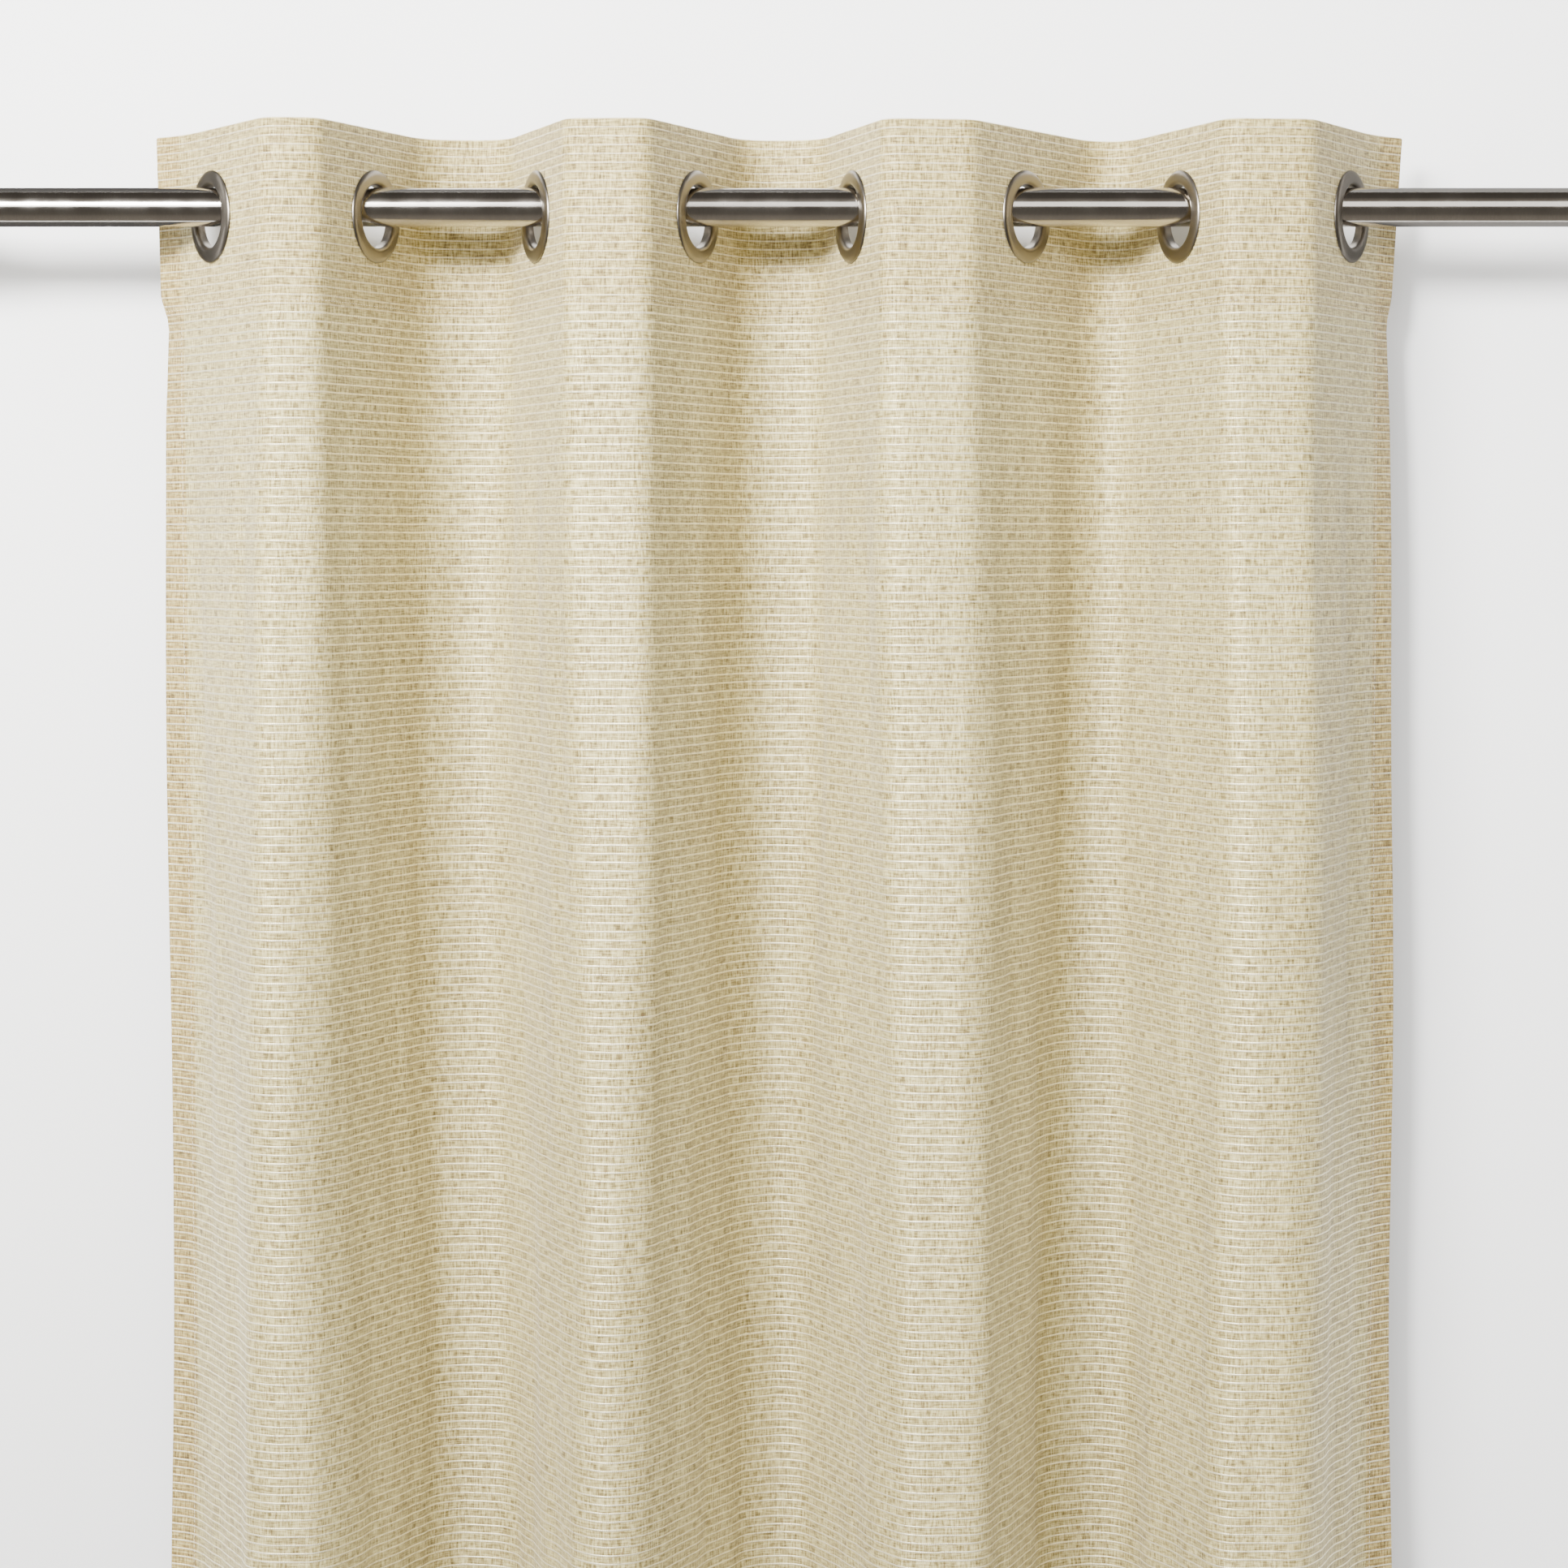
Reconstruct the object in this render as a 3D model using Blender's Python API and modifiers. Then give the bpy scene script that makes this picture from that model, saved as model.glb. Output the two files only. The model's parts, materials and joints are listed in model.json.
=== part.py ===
"""Eyelet curtain on a brushed steel pole.

The frame is +Z up, with the wall in the plane y = 0 and the room towards -Y. The origin is on the
wall, midway between the two brackets, at the height of the pole's axis.

The pole passes through eight eyelets. Each eyelet grips a stiffened heading, and the cloth hangs
below it as a flat strip. The strips stand at a steep angle to the pole, turned one way and then
the other, and a fold joins each strip to the next, in front of the pole and behind it by turns.
"""

import math

import bmesh
import bpy
from mathutils import Matrix, Vector

MM = 0.001

# Pole and its caps
POLE_RADIUS = 12.5 * MM
POLE_WALL = 1.2 * MM
POLE_LENGTH = 1200 * MM
POLE_FROM_WALL = 100 * MM
CAP_RADIUS = 14.6 * MM
CAP_LENGTH = 30 * MM
CAP_GRIP = 14 * MM
CAP_EDGE = 1.5 * MM

# Brackets
BRACKET_X = 570 * MM
PLATE_RADIUS = 25 * MM
PLATE_THICKNESS = 4 * MM
SPIGOT_RADIUS = 5 * MM
SPIGOT_LENGTH = 14 * MM
ARM_RADIUS = 7 * MM
COVER_RADIUS = 28 * MM
COVER_DEPTH = 12 * MM
COVER_WALL = 1.5 * MM
COVER_OFF_WALL = 0.5 * MM
HOLDER_RADIUS = 16.5 * MM
HOLDER_WIDTH = 18 * MM
BOSS_RADIUS = 9 * MM
BOSS_END = 28 * MM
ARM_START = 16 * MM

# Screws
WALL_SCREW_SPREAD = 16 * MM
WALL_SCREW_HEAD_RADIUS = 4 * MM
WALL_SCREW_RADIUS = 2.2 * MM
WALL_SCREW_HEAD = 2 * MM
WALL_SCREW_SLOT = 0.8 * MM
WALL_SCREW_SLOT_STRETCH = 6
SINK_CLEARANCE = 0.42 * MM
POLE_GRUB_RADIUS = 2 * MM
SMALL_GRUB_RADIUS = 1.5 * MM
SOCKET_DEPTH = 1 * MM

# Cloth, laid flat
PANEL_HEIGHT = 2500 * MM
EYELET_PITCH = 181 * MM
SIDE_MARGIN = 66.5 * MM
STRIP_HALF = 45 * MM
CLOTH = 0.8 * MM
HEADING = 1.8 * MM
HEADING_HEIGHT = 120 * MM
HEADING_TOP = 50 * MM
FOLD_STEPS = 12

# Eyelets: where each one hangs along the pole, and the angle between its cloth and the pole
EYELET_X = [x * MM for x in (-370, -268, -159, -59, 46, 155, 259, 366)]
EYELET_TURN = [math.radians(turn) for turn in (57, 66, 69, 65, 72, 56, 69, 60)]
EYELET_DROP = 6.1 * MM
EYELET_RIM = 29.65 * MM
EYELET_BARREL = 20.4 * MM
EYELET_SHEET = 0.7 * MM
CLOTH_HOLE = 21.2 * MM

GAP = 0.3 * MM
POLE_SIDES = 48
ROUND_SIDES = 28
EYELET_SIDES = 20
SCREW_SIDES = 12
WALL_SCREW_SIDES = 12
MERGE = 0.00001

TO_WALL = Matrix.Rotation(math.radians(-90), 4, "X")
FROM_WALL = Matrix.Rotation(math.radians(90), 4, "X")
ALONG_POLE = Matrix.Rotation(math.radians(90), 4, "Y")

FINISHES = {
    "brushed_steel": ((0.60, 0.58, 0.55), 0.32, 1.0),
    "satin_nickel": ((0.55, 0.53, 0.50), 0.38, 1.0),
    "zinc_steel": ((0.66, 0.66, 0.64), 0.40, 1.0),
    "heading_cloth": ((0.62, 0.54, 0.41), 0.95, 0.0),
    "curtain_cloth": ((0.66, 0.58, 0.45), 0.95, 0.0),
}


# Scene, materials and modelling helpers


def clear_scene():
    """Remove every object, so that the file holds only the curtain and its pole."""
    for old in list(bpy.data.objects):
        bpy.data.objects.remove(old, do_unlink=True)


def new_collection(name):
    collection = bpy.data.collections.new(name)
    bpy.context.scene.collection.children.link(collection)
    return collection


def new_material(node, finish):
    """A Principled material of the node's own, in one of the finishes."""
    colour, roughness, metallic = FINISHES[finish]
    material = bpy.data.materials.new(f"{node}_{finish}")
    material.use_nodes = True
    shader = material.node_tree.nodes["Principled BSDF"]
    shader.inputs["Base Color"].default_value = (*colour, 1.0)
    shader.inputs["Roughness"].default_value = roughness
    shader.inputs["Metallic"].default_value = metallic
    return material


def add_part(name, mesh, place, finish):
    """Put a mesh in the part's collection as one named sub-part."""
    obj = bpy.data.objects.new(name, mesh)
    obj.matrix_world = place
    parts.objects.link(obj)
    mesh.materials.append(new_material(name, finish))
    return obj


def add_cutter(name, mesh, place):
    """Put a mesh in the cutters' collection, shown as a wire and never rendered."""
    obj = bpy.data.objects.new(name, mesh)
    obj.matrix_world = place
    obj.hide_render = True
    obj.display_type = "WIRE"
    cutters.objects.link(obj)
    return obj


def at(x, y, z, turn=None):
    """A place in the frame, with an optional turn applied first."""
    return Matrix.Translation((x, y, z)) @ (turn or Matrix.Identity(4))


def outline_mesh(name, outline, closed=False):
    """A line of (radius, height) points, which runs down the outer side.

    It is closed for a ring or a tube, and starts and ends on the axis for a solid piece.
    """
    mesh = bpy.data.meshes.new(name)
    count = len(outline)
    edges = [(i, i + 1) for i in range(count - 1)]
    if closed:
        edges.append((count - 1, 0))
    mesh.from_pydata([(radius, 0, height) for radius, height in outline], edges, [])
    return mesh


def cube_mesh(name, place):
    """A unit cube, with its place and its stretch in the mesh."""
    mesh = bpy.data.meshes.new(name)
    shape = bmesh.new()
    bmesh.ops.create_cube(shape, size=1, matrix=place)
    shape.to_mesh(mesh)
    shape.free()
    return mesh


def turn_about_axis(obj, sides):
    """Turn an outline about its own Z axis."""
    screw = obj.modifiers.new("Turn", "SCREW")
    screw.steps = sides
    screw.render_steps = sides
    screw.use_merge_vertices = True
    screw.merge_threshold = MERGE
    screw.use_smooth_shade = True


def give_thickness(obj, thickness):
    """Turn an open surface into sheet, with half its thickness on each side."""
    shell = obj.modifiers.new("Sheet", "SOLIDIFY")
    shell.thickness = thickness
    shell.offset = 0
    shell.use_even_offset = True


def add_turned(name, outline, place, finish, sides=ROUND_SIDES, closed=False):
    """A turned sub-part."""
    obj = add_part(name, outline_mesh(name, outline, closed), place, finish)
    turn_about_axis(obj, sides)
    return obj


def add_round_cutter(name, radius, length, place, sides=EYELET_SIDES):
    """A cylinder centred on its place, for cutting a hole or joining a boss."""
    mesh = bpy.data.meshes.new(name)
    shape = bmesh.new()
    bmesh.ops.create_cone(
        shape, cap_ends=True, segments=sides, radius1=radius, radius2=radius, depth=length
    )
    shape.to_mesh(mesh)
    shape.free()
    return add_cutter(name, mesh, place)


def combine(obj, other, operation):
    """Cut or join a piece with another shape."""
    boolean = obj.modifiers.new(f"{operation.title()} {other.name}", "BOOLEAN")
    boolean.operation = operation
    boolean.solver = "EXACT"
    boolean.object = other


# Pole, caps and brackets


def add_grub_screw(name, radius, near, far, x, y):
    """A grub screw that stands under the pole's axis and presses upwards, with a hex socket."""
    top = -near - GAP
    outline = [(0, top), (radius, top), (radius, -far), (0, -far)]
    screw = add_turned(name, outline, at(x, y, 0), "zinc_steel", SCREW_SIDES)
    socket = add_round_cutter(f"{name}_socket", radius / 2, 2 * SOCKET_DEPTH, at(x, y, -far), 6)
    combine(screw, socket, "DIFFERENCE")


def add_pole():
    half = POLE_LENGTH / 2
    inner = POLE_RADIUS - POLE_WALL
    outline = [(POLE_RADIUS, half), (POLE_RADIUS, -half), (inner, -half), (inner, half)]
    place = at(0, -POLE_FROM_WALL, 0, ALONG_POLE)
    add_turned("pole_tube", outline, place, "brushed_steel", POLE_SIDES, closed=True)


def add_end_cap(side, sign):
    """A solid cap whose skirt slides over the pole's end, held by a grub screw from below."""
    mouth = POLE_RADIUS + GAP
    depth = CAP_LENGTH - CAP_GRIP
    outline = [
        (0, depth),
        (CAP_RADIUS - CAP_EDGE, depth),
        (CAP_RADIUS, depth - CAP_EDGE),
        (CAP_RADIUS, -CAP_GRIP),
        (mouth, -CAP_GRIP),
        (mouth, GAP),
        (0, GAP),
    ]
    outwards = Matrix.Rotation(math.radians(90 * sign), 4, "Y")
    place = at(sign * POLE_LENGTH / 2, -POLE_FROM_WALL, 0, outwards)
    cap = add_turned(f"end_cap_{side}", outline, place, "brushed_steel")
    x = sign * (POLE_LENGTH / 2 - CAP_GRIP / 2)
    hole = add_round_cutter(
        f"end_cap_{side}_hole",
        SMALL_GRUB_RADIUS + GAP,
        CAP_RADIUS,
        at(x, -POLE_FROM_WALL, -CAP_RADIUS),
        SCREW_SIDES,
    )
    combine(cap, hole, "DIFFERENCE")
    add_grub_screw(
        f"end_cap_screw_{side}", SMALL_GRUB_RADIUS, POLE_RADIUS, CAP_RADIUS, x, -POLE_FROM_WALL
    )


def add_wall_plate(side, x):
    """A round plate with a spigot for the arm and two countersunk screw holes."""
    outline = [
        (0, PLATE_THICKNESS + SPIGOT_LENGTH),
        (SPIGOT_RADIUS, PLATE_THICKNESS + SPIGOT_LENGTH),
        (SPIGOT_RADIUS, PLATE_THICKNESS),
        (PLATE_RADIUS, PLATE_THICKNESS),
        (PLATE_RADIUS, 0),
        (0, 0),
    ]
    plate = add_turned(f"wall_plate_{side}", outline, at(x, 0, 0, FROM_WALL), "zinc_steel")
    for level, z in (("upper", WALL_SCREW_SPREAD), ("lower", -WALL_SCREW_SPREAD)):
        name = f"wall_screw_{side}_{level}"
        place = at(x, 0, z, FROM_WALL)
        add_wall_screw(name, place)
        combine(plate, add_screw_hole(f"{name}_hole", place), "DIFFERENCE")


def add_wall_screw(name, place):
    """A countersunk screw with a cross slot, as deep as the plate that it holds."""
    face = PLATE_THICKNESS - GAP
    neck = face - WALL_SCREW_HEAD
    outline = [
        (0, face),
        (WALL_SCREW_HEAD_RADIUS, face),
        (WALL_SCREW_RADIUS, neck),
        (WALL_SCREW_RADIUS, GAP),
        (0, GAP),
    ]
    screw = add_turned(name, outline, place, "zinc_steel", WALL_SCREW_SIDES)
    stretch = Matrix.Diagonal((WALL_SCREW_SLOT_STRETCH, 1, 1, 1)) * WALL_SCREW_SLOT
    for turn in (0, 90):
        across = Matrix.Rotation(math.radians(turn), 4, "Z") @ stretch
        across[3][3] = 1
        slot = cube_mesh(f"{name}_slot_{turn}", across)
        cross = add_cutter(slot.name, slot, place @ Matrix.Translation((0, 0, face)))
        combine(screw, cross, "DIFFERENCE")


def add_screw_hole(name, place):
    """A cutter of a countersunk screw's own form, with clearance all round it."""
    face = PLATE_THICKNESS - GAP
    neck = face - WALL_SCREW_HEAD
    head_radius = WALL_SCREW_HEAD_RADIUS + SINK_CLEARANCE
    shank_radius = WALL_SCREW_RADIUS + SINK_CLEARANCE
    outline = [
        (0, PLATE_THICKNESS + GAP),
        (head_radius, PLATE_THICKNESS + GAP),
        (head_radius, face),
        (shank_radius, neck),
        (shank_radius, -GAP),
        (0, -GAP),
    ]
    cutter = add_cutter(name, outline_mesh(name, outline), place)
    turn_about_axis(cutter, WALL_SCREW_SIDES)
    return cutter


def add_cover(side, x):
    """A shallow cup over the wall plate, with a hole for the arm."""
    inner = COVER_RADIUS - COVER_WALL
    hole = ARM_RADIUS + GAP
    floor = COVER_DEPTH - COVER_WALL
    outline = [
        (COVER_RADIUS - COVER_WALL, COVER_DEPTH),
        (COVER_RADIUS, floor),
        (COVER_RADIUS, COVER_OFF_WALL),
        (inner, COVER_OFF_WALL),
        (inner, floor),
        (hole, floor),
        (hole, COVER_DEPTH),
    ]
    add_turned(
        f"wall_cover_{side}", outline, at(x, 0, 0, FROM_WALL), "brushed_steel", closed=True
    )


def add_arm(side, x):
    """The arm from wall plate to pole holder, with a blind bore over the plate's spigot."""
    front = POLE_FROM_WALL - ARM_START
    back = PLATE_THICKNESS + GAP
    bore = SPIGOT_RADIUS + GAP
    bore_end = PLATE_THICKNESS + SPIGOT_LENGTH + GAP
    outline = [
        (0, front),
        (ARM_RADIUS, front),
        (ARM_RADIUS, back),
        (bore, back),
        (bore, bore_end),
        (0, bore_end),
    ]
    add_turned(f"bracket_arm_{side}", outline, at(x, 0, 0, FROM_WALL), "brushed_steel")


def add_holder(side, x):
    """A ring around the pole, with a boss at the back that takes the arm."""
    y = -POLE_FROM_WALL
    half = HOLDER_WIDTH / 2
    outline = [(0, half), (HOLDER_RADIUS, half), (HOLDER_RADIUS, -half), (0, -half)]
    holder = add_turned(f"pole_holder_{side}", outline, at(x, y, 0, ALONG_POLE), "brushed_steel")
    boss = add_round_cutter(
        f"pole_holder_{side}_boss",
        BOSS_RADIUS,
        BOSS_END,
        at(x, y + BOSS_END / 2, 0, TO_WALL),
        ROUND_SIDES,
    )
    combine(holder, boss, "UNION")
    bores = [
        ("pole", POLE_RADIUS + GAP, 2 * HOLDER_WIDTH, at(x, y, 0, ALONG_POLE), POLE_SIDES),
        (
            "arm",
            ARM_RADIUS + GAP,
            BOSS_END,
            at(x, y + ARM_START - GAP + BOSS_END / 2, 0, TO_WALL),
            ROUND_SIDES,
        ),
        (
            "pole_screw",
            POLE_GRUB_RADIUS + GAP,
            HOLDER_RADIUS,
            at(x, y, -HOLDER_RADIUS),
            SCREW_SIDES,
        ),
        (
            "arm_screw",
            SMALL_GRUB_RADIUS + GAP,
            BOSS_RADIUS,
            at(x, y + (HOLDER_RADIUS + BOSS_END) / 2, -BOSS_RADIUS),
            SCREW_SIDES,
        ),
    ]
    for use, radius, length, place, sides in bores:
        cutter = add_round_cutter(f"pole_holder_{side}_{use}_bore", radius, length, place, sides)
        combine(holder, cutter, "DIFFERENCE")
    add_grub_screw(
        f"pole_screw_{side}", POLE_GRUB_RADIUS, POLE_RADIUS, HOLDER_RADIUS, x, -POLE_FROM_WALL
    )
    add_grub_screw(
        f"arm_screw_{side}",
        SMALL_GRUB_RADIUS,
        ARM_RADIUS,
        BOSS_RADIUS,
        x,
        -POLE_FROM_WALL + (HOLDER_RADIUS + BOSS_END) / 2,
    )


# Curtain


def cloth_turn(index):
    """The cloth's angle at an eyelet: odd eyelets carry it forwards, even ones back."""
    forwards = index % 2 == 0
    return -EYELET_TURN[index] if forwards else EYELET_TURN[index]


def cloth_place(index):
    """The eyelet's centre, with local X along the cloth and local Y away from its face."""
    turn = Matrix.Rotation(cloth_turn(index), 4, "Z")
    return at(EYELET_X[index], -POLE_FROM_WALL, -EYELET_DROP, turn)


def strip_ends(index):
    """How far the flat strip reaches each way from its eyelet, along the cloth."""
    last = len(EYELET_X) - 1
    left = SIDE_MARGIN if index == 0 else STRIP_HALF
    right = SIDE_MARGIN if index == last else STRIP_HALF
    return -left, right


def add_strip(name, index, thickness, top, bottom, finish):
    """A flat upright strip of cloth between two heights, given from the pole's axis."""
    left, right = strip_ends(index)
    size = Matrix.Diagonal((right - left, thickness, top - bottom, 1))
    centre = Matrix.Translation(((left + right) / 2, 0, (top + bottom) / 2 + EYELET_DROP))
    return add_part(name, cube_mesh(name, centre @ size), cloth_place(index), finish)


def add_heading(index):
    """The stiffened double heading around one eyelet, with its hole."""
    number = index + 1
    top = HEADING_TOP
    bottom = HEADING_TOP - HEADING_HEIGHT
    heading = add_strip(f"heading_{number}", index, HEADING, top, bottom, "heading_cloth")
    through = cloth_place(index) @ TO_WALL
    hole = add_round_cutter(f"heading_{number}_hole", CLOTH_HOLE, 10 * HEADING, through)
    combine(heading, hole, "DIFFERENCE")


def add_cloth_strip(index):
    """The single cloth that hangs below one heading."""
    top = HEADING_TOP - HEADING_HEIGHT - GAP
    bottom = HEADING_TOP - PANEL_HEIGHT
    add_strip(f"cloth_strip_{index + 1}", index, CLOTH, top, bottom, "curtain_cloth")


def add_eyelet(index):
    """A pressed front ring with its barrel, and the back ring that it is clinched to."""
    number = index + 1
    face = HEADING / 2
    front = [
        (EYELET_BARREL, -face - 2.3 * MM),
        (EYELET_BARREL, face + 0.5 * MM),
        (EYELET_BARREL + 1.2 * MM, face + 2.0 * MM),
        (EYELET_BARREL + 4.2 * MM, face + 2.7 * MM),
        (EYELET_RIM - 1.3 * MM, face + 1.8 * MM),
        (EYELET_RIM, face + 0.5 * MM),
    ]
    back = [
        (EYELET_RIM, -face - 0.5 * MM),
        (EYELET_RIM - 1.2 * MM, -face - 1.6 * MM),
        (EYELET_BARREL + 4.2 * MM, -face - 2.2 * MM),
        (EYELET_BARREL + 1.2 * MM, -face - 1.6 * MM),
    ]
    place = cloth_place(index) @ FROM_WALL
    for side, outline in (("front", front), ("back", back)):
        ring = add_turned(f"eyelet_{side}_{number}", outline, place, "satin_nickel", EYELET_SIDES)
        give_thickness(ring, EYELET_SHEET)


def fold_points(start, start_way, end, end_way, reach):
    """Points of a cubic curve that leaves one strip and meets the next along their directions."""
    control = [start, start + start_way * reach, end - end_way * reach, end]
    points = []
    for step in range(FOLD_STEPS + 1):
        t = step / FOLD_STEPS
        weights = ((1 - t) ** 3, 3 * t * (1 - t) ** 2, 3 * t * t * (1 - t), t**3)
        points.append(sum((w * c for w, c in zip(weights, control)), Vector((0, 0, 0))))
    return points


def length_of(points):
    return sum((b - a).length for a, b in zip(points, points[1:]))


def add_fold(index):
    """The rounded fold from one strip to the next, bowed until it holds its length of cloth."""
    name = f"cloth_fold_{index + 1}"
    here = cloth_place(index)
    there = cloth_place(index + 1)
    start = here @ Vector((STRIP_HALF + GAP, 0, 0))
    end = there @ Vector((-STRIP_HALF - GAP, 0, 0))
    start_way = here.to_3x3() @ Vector((1, 0, 0))
    end_way = there.to_3x3() @ Vector((1, 0, 0))
    wanted = EYELET_PITCH - 2 * (STRIP_HALF + GAP)
    low, high = 0.0, wanted
    for _ in range(30):
        reach = (low + high) / 2
        if length_of(fold_points(start, start_way, end, end_way, reach)) < wanted:
            low = reach
        else:
            high = reach
    plan = fold_points(start, start_way, end, end_way, reach)
    top = HEADING_TOP
    bottom = HEADING_TOP - PANEL_HEIGHT
    origin = Vector((EYELET_X[index], -POLE_FROM_WALL, 0))
    upper = [(p.x - origin.x, p.y - origin.y, top) for p in plan]
    lower = [(p.x - origin.x, p.y - origin.y, bottom) for p in plan]
    count = len(plan)
    faces = [(i, i + 1, count + i + 1, count + i) for i in range(count - 1)]
    mesh = bpy.data.meshes.new(name)
    mesh.from_pydata(lower + upper, [], faces)
    fold = add_part(name, mesh, Matrix.Translation(origin), "curtain_cloth")
    mesh.shade_smooth()
    give_thickness(fold, CLOTH)


clear_scene()
parts = new_collection("eyelet_curtain_on_pole")
cutters = new_collection("cutters")

add_pole()
for side, sign in (("left", -1), ("right", 1)):
    add_end_cap(side, sign)
    add_wall_plate(side, sign * BRACKET_X)
    add_cover(side, sign * BRACKET_X)
    add_arm(side, sign * BRACKET_X)
    add_holder(side, sign * BRACKET_X)
for index in range(len(EYELET_X)):
    add_heading(index)
    add_cloth_strip(index)
    add_eyelet(index)
for index in range(len(EYELET_X) - 1):
    add_fold(index)
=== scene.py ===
"""Eyelet curtain on a brushed steel pole: fine surfaces, finishes, light and camera.

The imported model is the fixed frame: +Z is up, the wall is the plane y = 0, the room lies towards
-Y, and the origin is on the wall at the height of the pole's axis. Eyelet places and cloth angles
are read from the frame's nodes. All lengths are in metres unless a name ends in _mm.
"""

import json
import logging
import math
from dataclasses import dataclass, field
from enum import Enum
from typing import Any, Sequence

import bmesh
import bpy
import numpy as np
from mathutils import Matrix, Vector

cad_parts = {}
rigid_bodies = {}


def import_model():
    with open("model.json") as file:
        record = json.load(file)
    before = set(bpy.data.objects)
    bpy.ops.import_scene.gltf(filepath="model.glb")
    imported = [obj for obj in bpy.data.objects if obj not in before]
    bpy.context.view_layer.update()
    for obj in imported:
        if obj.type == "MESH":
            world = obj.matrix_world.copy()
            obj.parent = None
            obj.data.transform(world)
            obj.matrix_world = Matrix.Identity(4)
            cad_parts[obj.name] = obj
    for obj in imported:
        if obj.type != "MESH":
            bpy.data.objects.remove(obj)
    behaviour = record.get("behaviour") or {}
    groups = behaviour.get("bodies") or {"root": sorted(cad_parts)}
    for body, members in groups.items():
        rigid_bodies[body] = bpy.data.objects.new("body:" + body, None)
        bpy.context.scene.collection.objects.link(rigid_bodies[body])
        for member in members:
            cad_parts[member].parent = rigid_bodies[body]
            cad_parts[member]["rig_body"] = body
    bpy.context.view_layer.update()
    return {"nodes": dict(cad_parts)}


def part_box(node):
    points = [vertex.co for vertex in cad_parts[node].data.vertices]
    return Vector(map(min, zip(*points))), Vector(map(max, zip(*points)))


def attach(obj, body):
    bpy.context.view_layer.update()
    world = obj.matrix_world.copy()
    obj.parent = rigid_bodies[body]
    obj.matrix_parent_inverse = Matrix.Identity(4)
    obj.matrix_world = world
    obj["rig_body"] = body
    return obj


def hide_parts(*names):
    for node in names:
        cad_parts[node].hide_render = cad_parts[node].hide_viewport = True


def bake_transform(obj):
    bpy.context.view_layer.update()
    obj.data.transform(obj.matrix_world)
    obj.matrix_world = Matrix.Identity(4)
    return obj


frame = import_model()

MM = 0.001
SEED = 20
FULL_TURN = 2.0 * math.pi
RIM_ANGLE = math.radians(60)

Colour = tuple[float, float, float]
Point = tuple[float, float, float]
Array = np.ndarray
Object = bpy.types.Object
Material = bpy.types.Material
Socket = bpy.types.NodeSocket
Tree = bpy.types.NodeTree

log = logging.getLogger("curtain")


# Mesh helpers


def smooth_step(value: Array) -> Array:
    """The smooth ramp 3t^2 - 2t^3, held at 0 below 0 and at 1 above 1."""
    t = np.clip(value, 0.0, 1.0)
    return t * t * (3.0 - 2.0 * t)


def grid_quads(rows: int, columns: int) -> Array:
    """Corner numbers of the quads of a grid stored row by row.

    Args:
        rows: Number of rows of points.
        columns: Number of points in a row.

    Returns:
        An array of shape (rows - 1, columns - 1, 4).
    """
    number = np.arange(rows * columns).reshape(rows, columns)
    upper, lower = number[:-1], number[1:]
    return np.stack([upper[:, :-1], lower[:, :-1], lower[:, 1:], upper[:, 1:]], axis=-1)


def add_mesh(name: str, points: Array, faces: Sequence[Array], flat: Array | None = None) -> Object:
    """Make a smooth-shaded mesh object from arrays.

    Args:
        name: The piece's name.
        points: Points of shape (..., 3).
        faces: Arrays of corner numbers, one array for each number of corners.
        flat: Each point's place on the flat cloth, of shape (..., 2), written as the UV map.

    Returns:
        The new object, linked to the scene, at the origin.
    """
    mesh = bpy.data.meshes.new(name)
    corners = [corner for group in faces for corner in group.reshape(-1, group.shape[-1]).tolist()]
    mesh.from_pydata(points.reshape(-1, 3).tolist(), [], corners)
    if flat is not None:
        layer = mesh.uv_layers.new(name="UV")
        order = np.zeros(len(mesh.loops), np.int32)
        mesh.loops.foreach_get("vertex_index", order)
        layer.data.foreach_set("uv", flat.reshape(-1, 2)[order].astype(np.float32).ravel())
    mesh.shade_smooth()
    obj = bpy.data.objects.new(name, mesh)
    bpy.context.scene.collection.objects.link(obj)
    return obj


def drop_loose_points(obj: Object) -> None:
    """Remove the points that no face uses."""
    shape = bmesh.new()
    shape.from_mesh(obj.data)
    loose = [point for point in shape.verts if not point.link_faces]
    bmesh.ops.delete(shape, geom=loose, context="VERTS")
    shape.to_mesh(obj.data)
    shape.free()


def recalculate_normals(obj: Object) -> None:
    """Point every face of a closed mesh outwards."""
    shape = bmesh.new()
    shape.from_mesh(obj.data)
    bmesh.ops.recalc_face_normals(shape, faces=shape.faces)
    shape.to_mesh(obj.data)
    shape.free()


def give_thickness(obj: Object, thickness: float) -> None:
    """Turn a surface into closed sheet, with half the thickness on each side.

    The edge all round is marked sharp, so that it doesn't bend the shading of the two faces.

    Args:
        obj: The surface's object.
        thickness: The sheet's thickness.
    """
    shell = obj.modifiers.new("Thickness", "SOLIDIFY")
    shell.thickness = thickness
    shell.offset = 0.0
    shell.use_even_offset = False
    surface = obj.data
    view = bpy.context.evaluated_depsgraph_get()
    obj.data = bpy.data.meshes.new_from_object(obj.evaluated_get(view))
    obj.modifiers.clear()
    bpy.data.meshes.remove(surface)
    obj.data.name = obj.name
    obj.data.set_sharp_from_angle(angle=RIM_ANGLE)


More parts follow.
